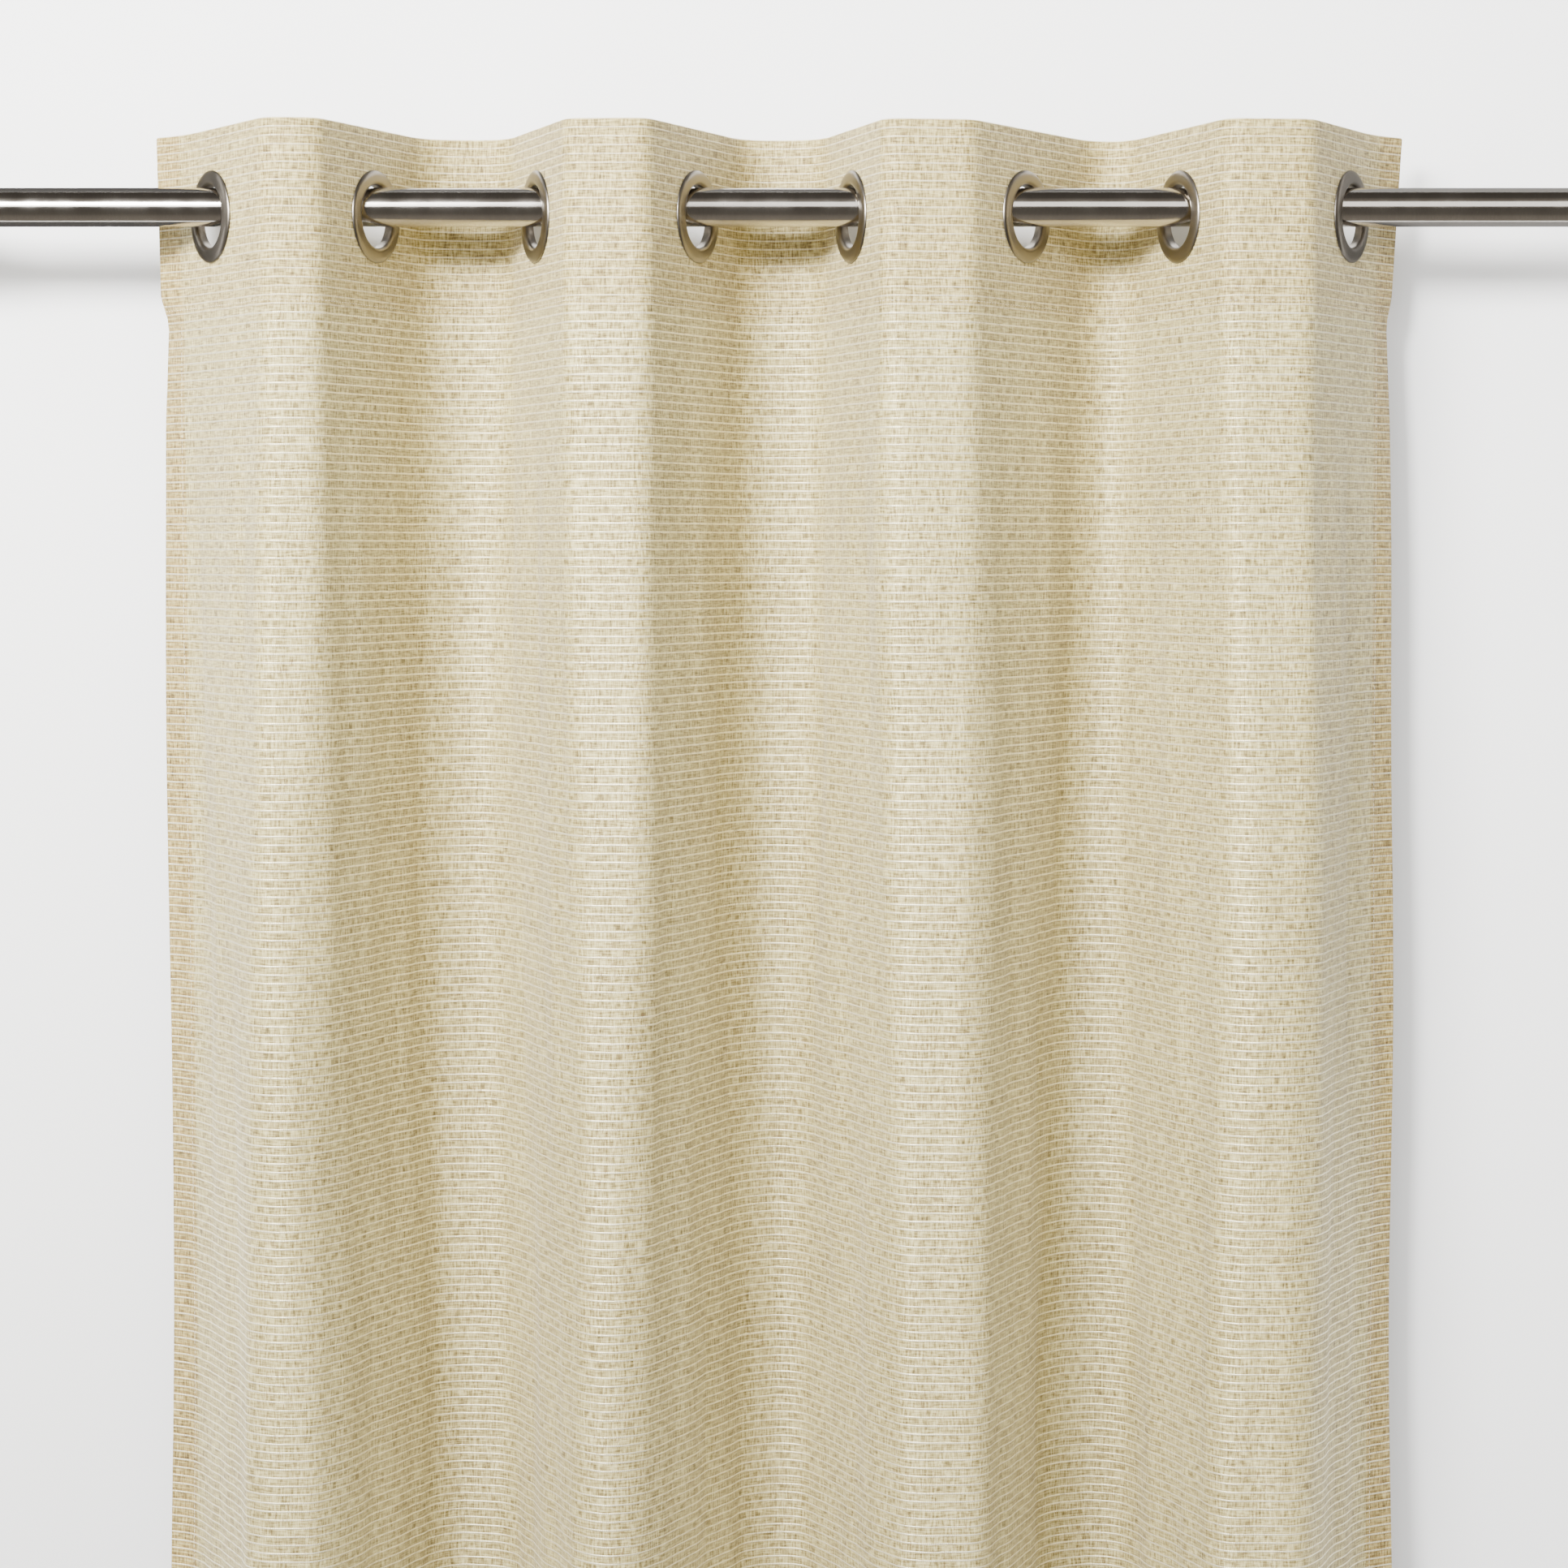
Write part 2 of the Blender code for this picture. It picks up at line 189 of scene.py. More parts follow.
def smooth_line(points: Sequence[tuple[float, float]], steps: int) -> Array:
    """A Catmull-Rom curve through points, with the same number of steps in each stretch.

    Each stretch is the cubic that passes its two ends, along the line between their neighbours.

    Args:
        points: The points to pass through.
        steps: Steps in each stretch.

    Returns:
        An array of shape (n, 2).
    """
    known = np.array(points, float)
    padded = np.vstack([2 * known[0] - known[1], known, 2 * known[-1] - known[-2]])
    t = np.linspace(0.0, 1.0, steps, endpoint=False)[:, None, None]
    a, b, c, d = padded[:-3], padded[1:-2], padded[2:-1], padded[3:]
    bend, twist = 2 * a - 5 * b + 4 * c - d, 3 * b - a - 3 * c + d
    curve = 0.5 * (2 * b + (c - a) * t + bend * t**2 + twist * t**3)
    return np.vstack([curve.transpose(1, 0, 2).reshape(-1, 2), known[-1:]])


def sheet_section(line: Array, thickness: float) -> Array:
    """The closed outline of bent sheet: its mid-line moved half the thickness to each side.

    Args:
        line: The mid-line, of shape (n, 2).
        thickness: The sheet's thickness.

    Returns:
        The outline, of shape (2n, 2), which runs out along one side and back along the other.
    """
    way = np.gradient(line, axis=0)
    way /= np.linalg.norm(way, axis=1, keepdims=True)
    side = np.stack([way[:, 1], -way[:, 0]], axis=1) * thickness / 2
    return np.vstack([line + side, (line - side)[::-1]])


# Node graphs


class Graph:
    """Adds nodes to one node tree and hands back their sockets."""

    def __init__(self, tree: Tree) -> None:
        """Work on this tree."""
        self.tree = tree

    def feed(self, socket: Socket, value: Any) -> None:
        """Link a socket to another, or set its value."""
        if isinstance(value, Socket):
            self.tree.links.new(value, socket)
        elif isinstance(value, tuple) and socket.type == "RGBA":
            socket.default_value = (*value, 1.0)
        else:
            socket.default_value = value

    def add(self, kind: str, inputs: dict[Any, Any] | None = None, **settings: Any) -> bpy.types.Node:
        """Add a node.

        Args:
            kind: The node's type.
            inputs: Values or sockets for its inputs, by name or number.
            **settings: The node's own properties.

        Returns:
            The node.
        """
        node = self.tree.nodes.new(kind)
        for key, value in settings.items():
            setattr(node, key, value)
        for key, value in (inputs or {}).items():
            self.feed(node.inputs[key], value)
        return node

    def math(self, operation: str, *values: Any) -> Socket:
        """A sum, product or other operation on one to three values."""
        return self.add("ShaderNodeMath", dict(enumerate(values)), operation=operation).outputs[0]

    def ramp(self, value: Any, low: float, high: float, start: float = 0.0, end: float = 1.0) -> Socket:
        """A smooth ramp from start to end as the value goes from low to high."""
        inputs = {"Value": value, "From Min": low, "From Max": high, "To Min": start, "To Max": end}
        return self.add("ShaderNodeMapRange", inputs, interpolation_type="SMOOTHSTEP").outputs[0]

    def stretch(self, vector: Any, factors: Any) -> Socket:
        """The vector times a factor along each axis."""
        return self.add("ShaderNodeVectorMath", {0: vector, 1: factors}, operation="MULTIPLY").outputs[0]

    def noise(self, vector: Any, factors: Any, detail: float = 1.0) -> Socket:
        """Noise whose spots are 1 / factor long along each axis."""
        inputs = {"Vector": self.stretch(vector, factors), "Scale": 1.0, "Detail": detail}
        return self.add("ShaderNodeTexNoise", inputs).outputs["Fac"]

    def mix(self, factor: Any, first: Any, second: Any, blend: str = "MIX") -> Socket:
        """A mix of two colours."""
        node = self.add("ShaderNodeMix", data_type="RGBA", blend_type=blend)
        for key, value in ((0, factor), (6, first), (7, second)):
            self.feed(node.inputs[key], value)
        return node.outputs[2]


def new_group(
    name: str, inputs: dict[str, str], outputs: dict[str, str]
) -> tuple[Tree, Graph, Any, Any]:
    """Start a node group.

    Args:
        name: The group's name.
        inputs: Socket types by input name.
        outputs: Socket types by output name.

    Returns:
        The tree, its graph, the group's inputs and the group's outputs.
    """
    tree = bpy.data.node_groups.new(name, "ShaderNodeTree")
    for way, sockets in (("INPUT", inputs), ("OUTPUT", outputs)):
        for label, kind in sockets.items():
            tree.interface.new_socket(name=label, in_out=way, socket_type=f"NodeSocket{kind}")
    graph = Graph(tree)
    entry = graph.add("NodeGroupInput")
    exit_node = graph.add("NodeGroupOutput")
    return tree, graph, entry.outputs, exit_node.inputs


def build_linen_group() -> Tree:
    """Linen cloth with a thin glossy weft stripe.

    Flat is the place on the flat cloth in metres: across, down. A stripe comes back at each
    pitch. It is made of short floats, one over every other warp thread. The ground is a fine
    crosshatch of threads, with a twill hatch, uneven threads and short dark slubs, deeper in
    colour where it is darker. Where the cloth lies double, light through it from behind is
    painted in: the colour is painted darker and yellower between the stripes of the layer
    behind, which are painted showing through. The twill hatch is fainter there.

    Returns:
        The group, which puts out the ground's Colour, the Stripe mask, 1 on a glossy float and
        0 on the ground, and Height.
    """
    tree, g, given, out = new_group(
        "woven_linen",
        {"Flat": "Vector", "Ground": "Color", "Slub": "Color", "Pitch": "Float", "Double": "Float"},
        {"Colour": "Color", "Stripe": "Float", "Height": "Float"},
    )
    flat = given["Flat"]
    parts = g.add("ShaderNodeSeparateXYZ", {0: flat})
    across, down = parts.outputs[0], parts.outputs[1]
    waver = g.math("MULTIPLY", g.math("SUBTRACT", g.noise(flat, (60, 9, 1)), 0.5), 0.5 * MM)
    level = g.math("ADD", down, waver)
    warp_half, weft_half, twill_half, float_half = 0.31 * MM, 0.29 * MM, 0.6 * MM, 0.62 * MM
    from_stripe = g.math("PINGPONG", level, g.math("MULTIPLY", given["Pitch"], 0.5))
    stripe = g.ramp(from_stripe, 0.38 * MM, 0.66 * MM, 1.0, 0.0)
    floats = g.ramp(g.math("PINGPONG", across, float_half), 0.06 * MM, 0.34 * MM, 0.5, 1.0)
    worn = g.ramp(g.noise(flat, (160, 90, 1)), 0.3, 0.5, 0.62, 1.0)
    stripe = g.math("MULTIPLY", g.math("MULTIPLY", stripe, floats), worn)

    warp = g.ramp(g.math("PINGPONG", across, warp_half), 0.0, warp_half)
    weft = g.ramp(g.math("PINGPONG", down, weft_half), 0.0, weft_half)
    slant = g.math("MULTIPLY_ADD", down, 1.35, across)
    twill = g.ramp(g.math("PINGPONG", slant, twill_half), 0.1 * MM, 0.5 * MM)
    short_warp = g.noise(flat, (820, 120, 1), 2.0)
    short_weft = g.noise(flat, (120, 860, 1), 2.0)
    long_warp = g.noise(flat, (620, 11, 5), 2.0)
    cloud = g.noise(flat, (14, 7, 1), 3.0)
    slub_warp = g.ramp(g.noise(flat, (1150, 150, 1), 0.0), 0.69, 0.79)
    slub_weft = g.ramp(g.noise(flat, (150, 1350, 2), 0.0), 0.72, 0.81)
    slub_patch = g.ramp(g.noise(flat, (45, 30, 3), 1.0), 0.36, 0.62, 0.15, 1.0)
    fleck = g.ramp(g.noise(flat, (820, 420, 4), 1.0), 0.57, 0.70, 0.0, 0.6)
    slub = g.math("MULTIPLY", g.math("MAXIMUM", slub_warp, slub_weft), slub_patch)
    slub = g.math("MAXIMUM", slub, g.math("MULTIPLY", fleck, slub_patch))

    tone = g.ramp(short_warp, 0.3, 0.7, -0.42, 0.32)
    for spots, low, high in ((short_weft, -0.34, 0.26), (long_warp, -0.09, 0.07), (cloud, -0.05, 0.04)):
        tone = g.math("ADD", tone, g.ramp(spots, 0.3, 0.7, low, high))
    tone = g.math("MULTIPLY_ADD", g.math("ADD", warp, weft), 0.07, tone)
    tone = g.math("MULTIPLY_ADD", twill, g.math("MULTIPLY_ADD", given["Double"], -0.10, 0.13), tone)
    tone = g.math("ADD", tone, 0.86)
    warm = {0: tone, 1: g.math("POWER", tone, 1.12), 2: g.math("POWER", tone, 1.5)}
    colour = g.mix(1.0, given["Ground"], g.add("ShaderNodeCombineXYZ", warm).outputs[0], "MULTIPLY")
    # Painted light through the cloth from behind: where it lies double, the colour is painted darker and
    # yellower, except along the stripes of the layer behind, which stay lighter as if showing through.
    behind = g.math("PINGPONG", g.math("ADD", level, 2.3 * MM), g.math("MULTIPLY", given["Pitch"], 0.5))
    show = g.ramp(behind, 0.3 * MM, 1.1 * MM, 0.0, 1.0)
    painted_backlight_tint = g.mix(show, (0.97, 0.93, 0.86), (0.80, 0.69, 0.50))
    colour = g.mix(given["Double"], colour, g.mix(1.0, colour, painted_backlight_tint, "MULTIPLY"))
    colour = g.mix(g.math("MULTIPLY", slub, 0.75), colour, given["Slub"])
    stripe = g.math("MULTIPLY", stripe, g.ramp(slub, 0.0, 0.8, 1.0, 0.3))

    round_thread = g.ramp(from_stripe, 0.0, 0.7 * MM, 1.0, 0.0)
    height = g.math("MULTIPLY_ADD", g.math("ADD", warp, weft), 0.13, round_thread)
    height = g.math("MULTIPLY_ADD", twill, 0.1, height)
    height = g.math("MULTIPLY_ADD", slub, 0.4, height)
    g.feed(out["Colour"], colour)
    g.feed(out["Stripe"], stripe)
    g.feed(out["Height"], height)
    return tree


def build_brushing_group() -> Tree:
    """Fine brushing and handling marks on metal.

    Fine and Coarse stretch the noise, in spots per metre along each axis, so that brushing
    runs along the axis with the smaller number.

    Returns:
        The group, which puts out Tone, Rough and Height, each a value near its middle of 0.5.
    """
    tree, g, given, out = new_group(
        "brushing",
        {"Place": "Vector", "Fine": "Vector", "Coarse": "Vector"},
        {"Tone": "Float", "Rough": "Float", "Height": "Float"},
    )
    fine = g.noise(given["Place"], given["Fine"], 2.0)
    wide = g.noise(given["Place"], given["Coarse"], 3.0)
    both = g.math("MULTIPLY_ADD", fine, 0.6, g.math("MULTIPLY", wide, 0.4))
    g.feed(out["Tone"], g.ramp(both, 0.25, 0.75))
    g.feed(out["Rough"], g.ramp(wide, 0.2, 0.8))
    g.feed(out["Height"], fine)
    return tree


# Finishes


class Brushing(Enum):
    """Which way the fine lines of a metal finish vary, in spots per metre along X, Y and Z."""

    AROUND_POLE = (5200.0, 240.0, 240.0)
    SATIN = (2600.0, 2600.0, 2600.0)
    TURNED = (500.0, 4200.0, 500.0)


def new_material(name: str) -> tuple[Material, Graph, bpy.types.Node]:
    """A material with one Principled shader, its graph and the shader."""
    material = bpy.data.materials.new(name)
    material.use_nodes = True
    return material, Graph(material.node_tree), material.node_tree.nodes["Principled BSDF"]


@dataclass(frozen=True)
class LinenFinish:
    """Striped linen: ground, stripe and slub colours, and how the threads shine."""

    name: str
    # double and heading_double set how strongly the painted light from behind shows where the cloth lies
    # double.
    double: float = 0.0
    ground: Colour = (0.365, 0.302, 0.122)
    stripe: Colour = (0.88, 0.81, 0.57)
    slub: Colour = (0.15, 0.085, 0.03)
    pitch: float = 5.55 * MM
    thread_height: float = 0.26 * MM
    roughness: float = 0.72
    stripe_roughness: float = 0.50
    stripe_gloss: float = 0.7
    heading_depth: float = 118 * MM
    heading_double: float = 0.35
    heading_fade: float = 0.4
    hem_width: float = 22 * MM
    flat_width: float = 1.4

    def build(self, group: Tree) -> Material:
        """Build the material from the woven group.

        Args:
            group: The woven_linen node group.

        Returns:
            The material. Where the cloth lies double it is painted a little deeper in colour, as
            painted light through the cloth from behind, and the stripe shows less there. The stripe's
            bright threads are half mirror-like, so they catch the light most where the cloth faces it.
        """
        material, g, shader = new_material(self.name)
        flat = g.add("ShaderNodeUVMap", uv_map="UV").outputs[0]
        parts = g.add("ShaderNodeSeparateXYZ", {0: flat})
        heading = g.ramp(parts.outputs[1], -self.heading_depth - MM, -self.heading_depth + MM)
        from_edge = g.math("PINGPONG", parts.outputs[0], self.flat_width / 2)
        hem = g.ramp(from_edge, self.hem_width - MM, self.hem_width + MM, 1.0, 0.0)
        # Double marks where the cloth lies double, in the heading and along the side edges; there the
        # woven group paints in light from behind through the cloth.
        double = g.math("MAXIMUM", g.math("MULTIPLY", heading, self.heading_double), hem)
        double = g.math("MAXIMUM", double, self.double)
        woven = g.add("ShaderNodeGroup", node_tree=group)
        colours = {"Ground": self.ground, "Slub": self.slub}
        for key, value in {"Flat": flat, **colours, "Pitch": self.pitch, "Double": double}.items():
            g.feed(woven.inputs[key], value)
        relief = {"Height": woven.outputs["Height"], "Distance": self.thread_height, "Strength": 0.8}
        bump = g.add("ShaderNodeBump", relief)
        share = g.math("MULTIPLY_ADD", heading, -self.heading_fade, 1.0)
        stripe = g.math("MULTIPLY", woven.outputs["Stripe"], share)
        g.feed(shader.inputs["Base Color"], g.mix(stripe, woven.outputs["Colour"], self.stripe))
        g.feed(shader.inputs["Roughness"], g.ramp(stripe, 0.0, 1.0, self.roughness, self.stripe_roughness))
        g.feed(shader.inputs["Metallic"], g.math("MULTIPLY", stripe, self.stripe_gloss))
        g.feed(shader.inputs["Normal"], bump.outputs[0])
        shader.inputs["Sheen Weight"].default_value = 0.25
        shader.inputs["Sheen Roughness"].default_value = 0.4
        shader.inputs["Sheen Tint"].default_value = (1.0, 0.96, 0.88, 1.0)
        shader.inputs["Specular IOR Level"].default_value = 0.5
        return material


@dataclass(frozen=True)
class MetalFinish:
    """A brushed or satin metal."""

    name: str
    colour: Colour
    roughness: float
    brushing: Brushing
    spread: float = 0.08
    line_height: float = 0.02 * MM

    def build(self, group: Tree) -> Material:
        """Build the material from the brushing group.

        Args:
            group: The brushing node group.

        Returns:
            The material.
        """
        material, g, shader = new_material(self.name)
        place = g.add("ShaderNodeTexCoord").outputs["Object"]
        marks = g.add("ShaderNodeGroup", node_tree=group)
        g.feed(marks.inputs["Place"], place)
        g.feed(marks.inputs["Fine"], self.brushing.value)
        g.feed(marks.inputs["Coarse"], (60.0, 60.0, 60.0))
        dark = tuple(0.86 * part for part in self.colour)
        g.feed(shader.inputs["Base Color"], g.mix(marks.outputs["Tone"], dark, self.colour))
        low, high = self.roughness - self.spread / 2, self.roughness + self.spread / 2
        g.feed(shader.inputs["Roughness"], g.ramp(marks.outputs["Rough"], 0.0, 1.0, low, high))
        relief = {"Height": marks.outputs["Height"], "Distance": self.line_height, "Strength": 0.5}
        bump = g.add("ShaderNodeBump", relief)
        g.feed(shader.inputs["Normal"], bump.outputs[0])
        shader.inputs["Metallic"].default_value = 1.0
        return material


@dataclass(frozen=True)
class ThreadFinish:
    """Sewing thread, with a fine twist."""

    name: str = "sewing_thread"
    colour: Colour = (0.72, 0.64, 0.48)
    roughness: float = 0.6

    def build(self) -> Material:
        """Build the material, whose twist is a slanting wave on the object's own coordinates."""
        material, g, shader = new_material(self.name)
        place = g.add("ShaderNodeTexCoord").outputs["Object"]
        parts = g.add("ShaderNodeSeparateXYZ", {0: place})
        slant = g.math("ADD", parts.outputs[0], parts.outputs[2])
        twist = g.ramp(g.math("PINGPONG", slant, 0.2 * MM), 0.0, 0.2 * MM)
        dark = tuple(0.8 * part for part in self.colour)
        g.feed(shader.inputs["Base Color"], g.mix(twist, dark, self.colour))
        bump = g.add("ShaderNodeBump", {"Height": twist, "Distance": 0.05 * MM})
        g.feed(shader.inputs["Normal"], bump.outputs[0])
        shader.inputs["Roughness"].default_value = self.roughness
        return material


@dataclass(frozen=True)
class PaintFinish:
    """Plain matt paint of the studio, which lets the light and the view through from behind."""

    name: str
    colour: Colour
    see_through_back: bool = False

    def build(self) -> Material:
        """Build the material."""
        material, g, shader = new_material(self.name)
        place = g.add("ShaderNodeTexCoord").outputs["Object"]
        tone = g.ramp(g.noise(place, (3.0, 3.0, 3.0), 3.0), 0.2, 0.8)
        dark = tuple(0.985 * part for part in self.colour)
        g.feed(shader.inputs["Base Color"], g.mix(tone, dark, self.colour))
        shader.inputs["Roughness"].default_value = 0.9
        shader.inputs["Specular IOR Level"].default_value = 0.15
        if self.see_through_back:
            back = g.add("ShaderNodeNewGeometry").outputs["Backfacing"]
            clear = g.add("ShaderNodeBsdfTransparent").outputs[0]
            both = g.add("ShaderNodeMixShader", {0: back, 1: shader.outputs[0], 2: clear})
            output = material.node_tree.nodes["Material Output"]
            g.feed(output.inputs["Surface"], both.outputs[0])
        return material


class Finishes:
    """Every finish of the curtain and the studio, built once."""

    def __init__(self) -> None:
        """Build the node groups, then the materials that use them."""
        linen = build_linen_group()
        brushing = build_brushing_group()
        self.linen = LinenFinish("striped_linen").build(linen)
        # The side hem lies double all through, so the painted light from behind is laid on all of it, at
        # least at half strength.
        self.hem_linen = LinenFinish("striped_linen_hem", double=0.5).build(linen)
        pole = MetalFinish(
            "pole_brushed_steel", (0.60, 0.565, 0.515), 0.13, Brushing.AROUND_POLE, spread=0.06
        )
        fitting = MetalFinish("fitting_brushed_steel", (0.66, 0.63, 0.59), 0.27, Brushing.SATIN)
        nickel = MetalFinish("eyelet_satin_nickel", (0.24, 0.216, 0.182), 0.32, Brushing.SATIN)
        self.pole, self.fitting, self.nickel = (metal.build(brushing) for metal in (pole, fitting, nickel))
        self.zinc = MetalFinish("screw_zinc", (0.68, 0.69, 0.68), 0.34, Brushing.TURNED).build(brushing)
        self.thread = ThreadFinish().build()


# Cloth


@dataclass(frozen=True)
class EyeletPlace:
    """Where one eyelet hangs, and how its cloth stands to the pole."""

    number: int
    x: float
    y: float
    z: float
    turn: float


def read_eyelets() -> list[EyeletPlace]:
    """Read every eyelet's centre and its cloth's angle from the frame.

    The turn is the angle of the strip's longest level direction from +X, found as the main axis
    of the strip's points seen from above.

    Returns:
        The places, from left to right.
    """
    places = []
    pole_low, pole_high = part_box("pole_tube")
    pole_y = (pole_low.y + pole_high.y) / 2
    number = 1
    while f"eyelet_front_{number}" in frame["nodes"]:
        low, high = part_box(f"eyelet_front_{number}")
        strip = frame["nodes"][f"cloth_strip_{number}"].data
        points = np.zeros(len(strip.vertices) * 3, np.float32)
        strip.vertices.foreach_get("co", points)
        plan = points.reshape(-1, 3)[:, :2].astype(float)
        along = np.linalg.eigh(np.cov((plan - plan.mean(0)).T))[1][:, -1]
        along *= np.sign(along[0])
        middle = (low + high) / 2
        turn = math.atan2(along[1], along[0])
        places.append(EyeletPlace(number, middle.x, pole_y, middle.z, turn))
        number += 1
    return places


@dataclass
class Drape:
    """The hanging shape of the cloth, as a plan curve at each depth below the top edge.

    Between two eyelets the cloth's direction goes from one eyelet's angle to the crest's own, and
    from there to the next eyelet's, as two smooth steps. The places of the two steps follow
    from the cloth's length and the eyelets' distance. Crests are flat with firm corners in the
    stiff heading, and round off below it. side_reach holds, for the left and the right edge,
    how many millimetres the side lies outside its eyelet at some depths in metres. Each ripple
    is a size in millimetres, waves per metre across and down, and a starting angle.
    """

    eyelets: list[EyeletPlace]
    pitch: float = 181 * MM
    margin: float = 66.5 * MM
    heading: float = 118 * MM
    relax_over: float = 520 * MM
    front_corner: tuple[float, float] = (11 * MM, 21 * MM)
    back_corner: tuple[float, float] = (23 * MM, 25 * MM)
    low_turn: float = math.radians(65.5)
    crest_tilt: tuple[float, ...] = (-7.0, 5.0, 3.0, -5.0, -6.0, 6.0, -5.0)
    tilt_loss: float = 0.6
    sway: float = 1.54 * MM
    sway_lengths: tuple[float, float] = (1.9, 0.83)
    swell: float = math.radians(2.0)
    swell_length: float = 1.3
    edge_sway: float = 1.2 * MM
    edge_sway_length: float = 0.6
    edge_bend: tuple[float, float] = (0.2, 0.8)
    edge_spare: float = 4 * MM
    longest_flat: float = 0.8
    step: float = 0.5 * MM
    halvings: int = 26
    ripple_over: float = 180 * MM
    side_reach: tuple[tuple[tuple[float, float], ...], ...] = (
        ((0.0, 43.5), (0.105, 42.0), (0.122, 37.5), (0.19, 40.0), (0.9, 41.5), (2.5, 41.5)),
        ((0.0, 41.5), (0.105, 36.5), (0.122, 33.5), (0.19, 36.0), (0.5, 40.0), (1.0, 44.0), (2.5, 45.0)),
    )
    ripples: tuple[tuple[float, float, float, float], ...] = (
        (0.9, 13.0, 0.6, 0.4),
        (0.6, 23.0, -1.1, 2.1),
        (0.2, 41.0, 1.7, 4.0),
        (0.08, 67.0, -2.3, 5.1),
        (0.5, 3.0, 2.9, 1.3),
    )
    phase: Array = field(init=False)

    def __post_init__(self) -> None:
        """Draw the phases of the slow waves once."""
        self.phase = np.random.default_rng(SEED).uniform(0.0, FULL_TURN, (len(self.eyelets), 4))

    def relax(self, depth: Array) -> Array:
        """How far the cloth has relaxed below the heading: 0 in the heading and 1 far below."""
        return smooth_step((depth - self.heading) / self.relax_over)

    def crossing(self, index: int, depth: Array) -> Array:
        """Where the cloth passes under an eyelet: its x, with a slow sway below the heading."""
        slow, quick = self.sway_lengths
        wave = np.sin(FULL_TURN * depth / slow + self.phase[index, 0])
        wave = wave + 0.5 * np.sin(FULL_TURN * depth / quick + self.phase[index, 1])
        return self.eyelets[index].x + self.sway * self.relax(depth) * wave

    def turn(self, index: int, depth: Array) -> Array:
        """The cloth's angle to the pole at an eyelet's column, without its sign."""
        top = abs(self.eyelets[index].turn)
        swell = self.swell * np.sin(FULL_TURN * depth / self.swell_length + self.phase[index, 2])
        return top + (self.low_turn + swell - top) * self.relax(depth)

    def fold(self, index: int, depth: Array, along: Array) -> tuple[Array, Array, Array]:
        """The cloth between an eyelet and the next.

        The crest's flat part is halved in on until the cloth just reaches the next eyelet, and its
        middle is moved along the cloth until both ends stand on the pole's line.

        Args:
            index: The left eyelet's place in the list.
            depth: Each row's depth below the top edge.
            along: Distance along the cloth from the left eyelet, one row of values for each depth.

        Returns:
            x, y and the direction's angle from +X, each shaped like along.
        """
        forward = self.eyelets[index].turn < 0
        first, last = self.turn(index, depth)[:, None], self.turn(index + 1, depth)[:, None]
        ease = self.relax(depth)[:, None]
        narrow, wide = self.front_corner if forward else self.back_corner
        corner = narrow + (wide - narrow) * np.sqrt(ease)
        tilt = math.radians(self.crest_tilt[index]) * (1.0 - self.tilt_loss * ease)
        left = self.crossing(index, depth)[:, None]
        reach = self.crossing(index + 1, depth)[:, None] - left
        count = int(round(self.pitch / self.step)) + 1
        s = np.linspace(0.0, self.pitch, count)[None, :]
        low, high = np.zeros_like(left), np.full_like(left, self.longest_flat * self.pitch)
        middle = np.full_like(left, self.pitch / 2)
        angle = np.zeros((len(depth), count))
        for _ in range(self.halvings):
            flat = (low + high) / 2
            rise = smooth_step((s - middle + flat / 2) / (2 * corner) + 0.5)
            fall = smooth_step((s - middle - flat / 2) / (2 * corner) + 0.5)
            angle = first + (tilt - first) * rise - (last + tilt) * fall
            far = np.trapz(np.cos(angle), dx=s[0, 1], axis=1)[:, None] > reach
            low, high = np.where(far, low, flat), np.where(far, flat, high)
            drift = np.trapz(np.sin(angle), dx=s[0, 1], axis=1)[:, None]
            middle = middle - drift / (np.sin(first) + np.sin(last))
        side = -1.0 if forward else 1.0
        return self.trace(s, side * angle, along, left, self.eyelets[index].y, 0)

    def trace(
        self, s: Array, angle: Array, along: Array, x: Array, y: float, anchor: int
    ) -> tuple[Array, Array, Array]:
        """Follow a direction along the cloth, and read places off at given distances.

        Args:
            s: Even distances along the cloth, as one row.
            angle: The direction at each of them, row by row.
            along: Distances to read at, row by row.
            x: Each row's x at the anchor, as one column.
            y: The y at the anchor.
            anchor: The number of the distance where x and y hold.

        Returns:
            x, y and angle at the wanted distances.
        """
        ds = s[0, 1] - s[0, 0]
        middle = (angle[:, 1:] + angle[:, :-1]) / 2
        start = np.zeros((angle.shape[0], 1))
        px = np.hstack([start, np.cumsum(np.cos(middle) * ds, axis=1)])
        py = np.hstack([start, np.cumsum(np.sin(middle) * ds, axis=1)])
        px += x - px[:, anchor : anchor + 1]
        py += y - py[:, anchor : anchor + 1]
        place = (along - s[0, 0]) / ds
        low = np.clip(np.floor(place).astype(int), 0, s.shape[1] - 2)
        share = place - low
        out = []
        for values in (px, py, angle):
            left = np.take_along_axis(values, low, axis=1)
            right = np.take_along_axis(values, low + 1, axis=1)
            out.append(left + (right - left) * share)
        return out[0], out[1], out[2]

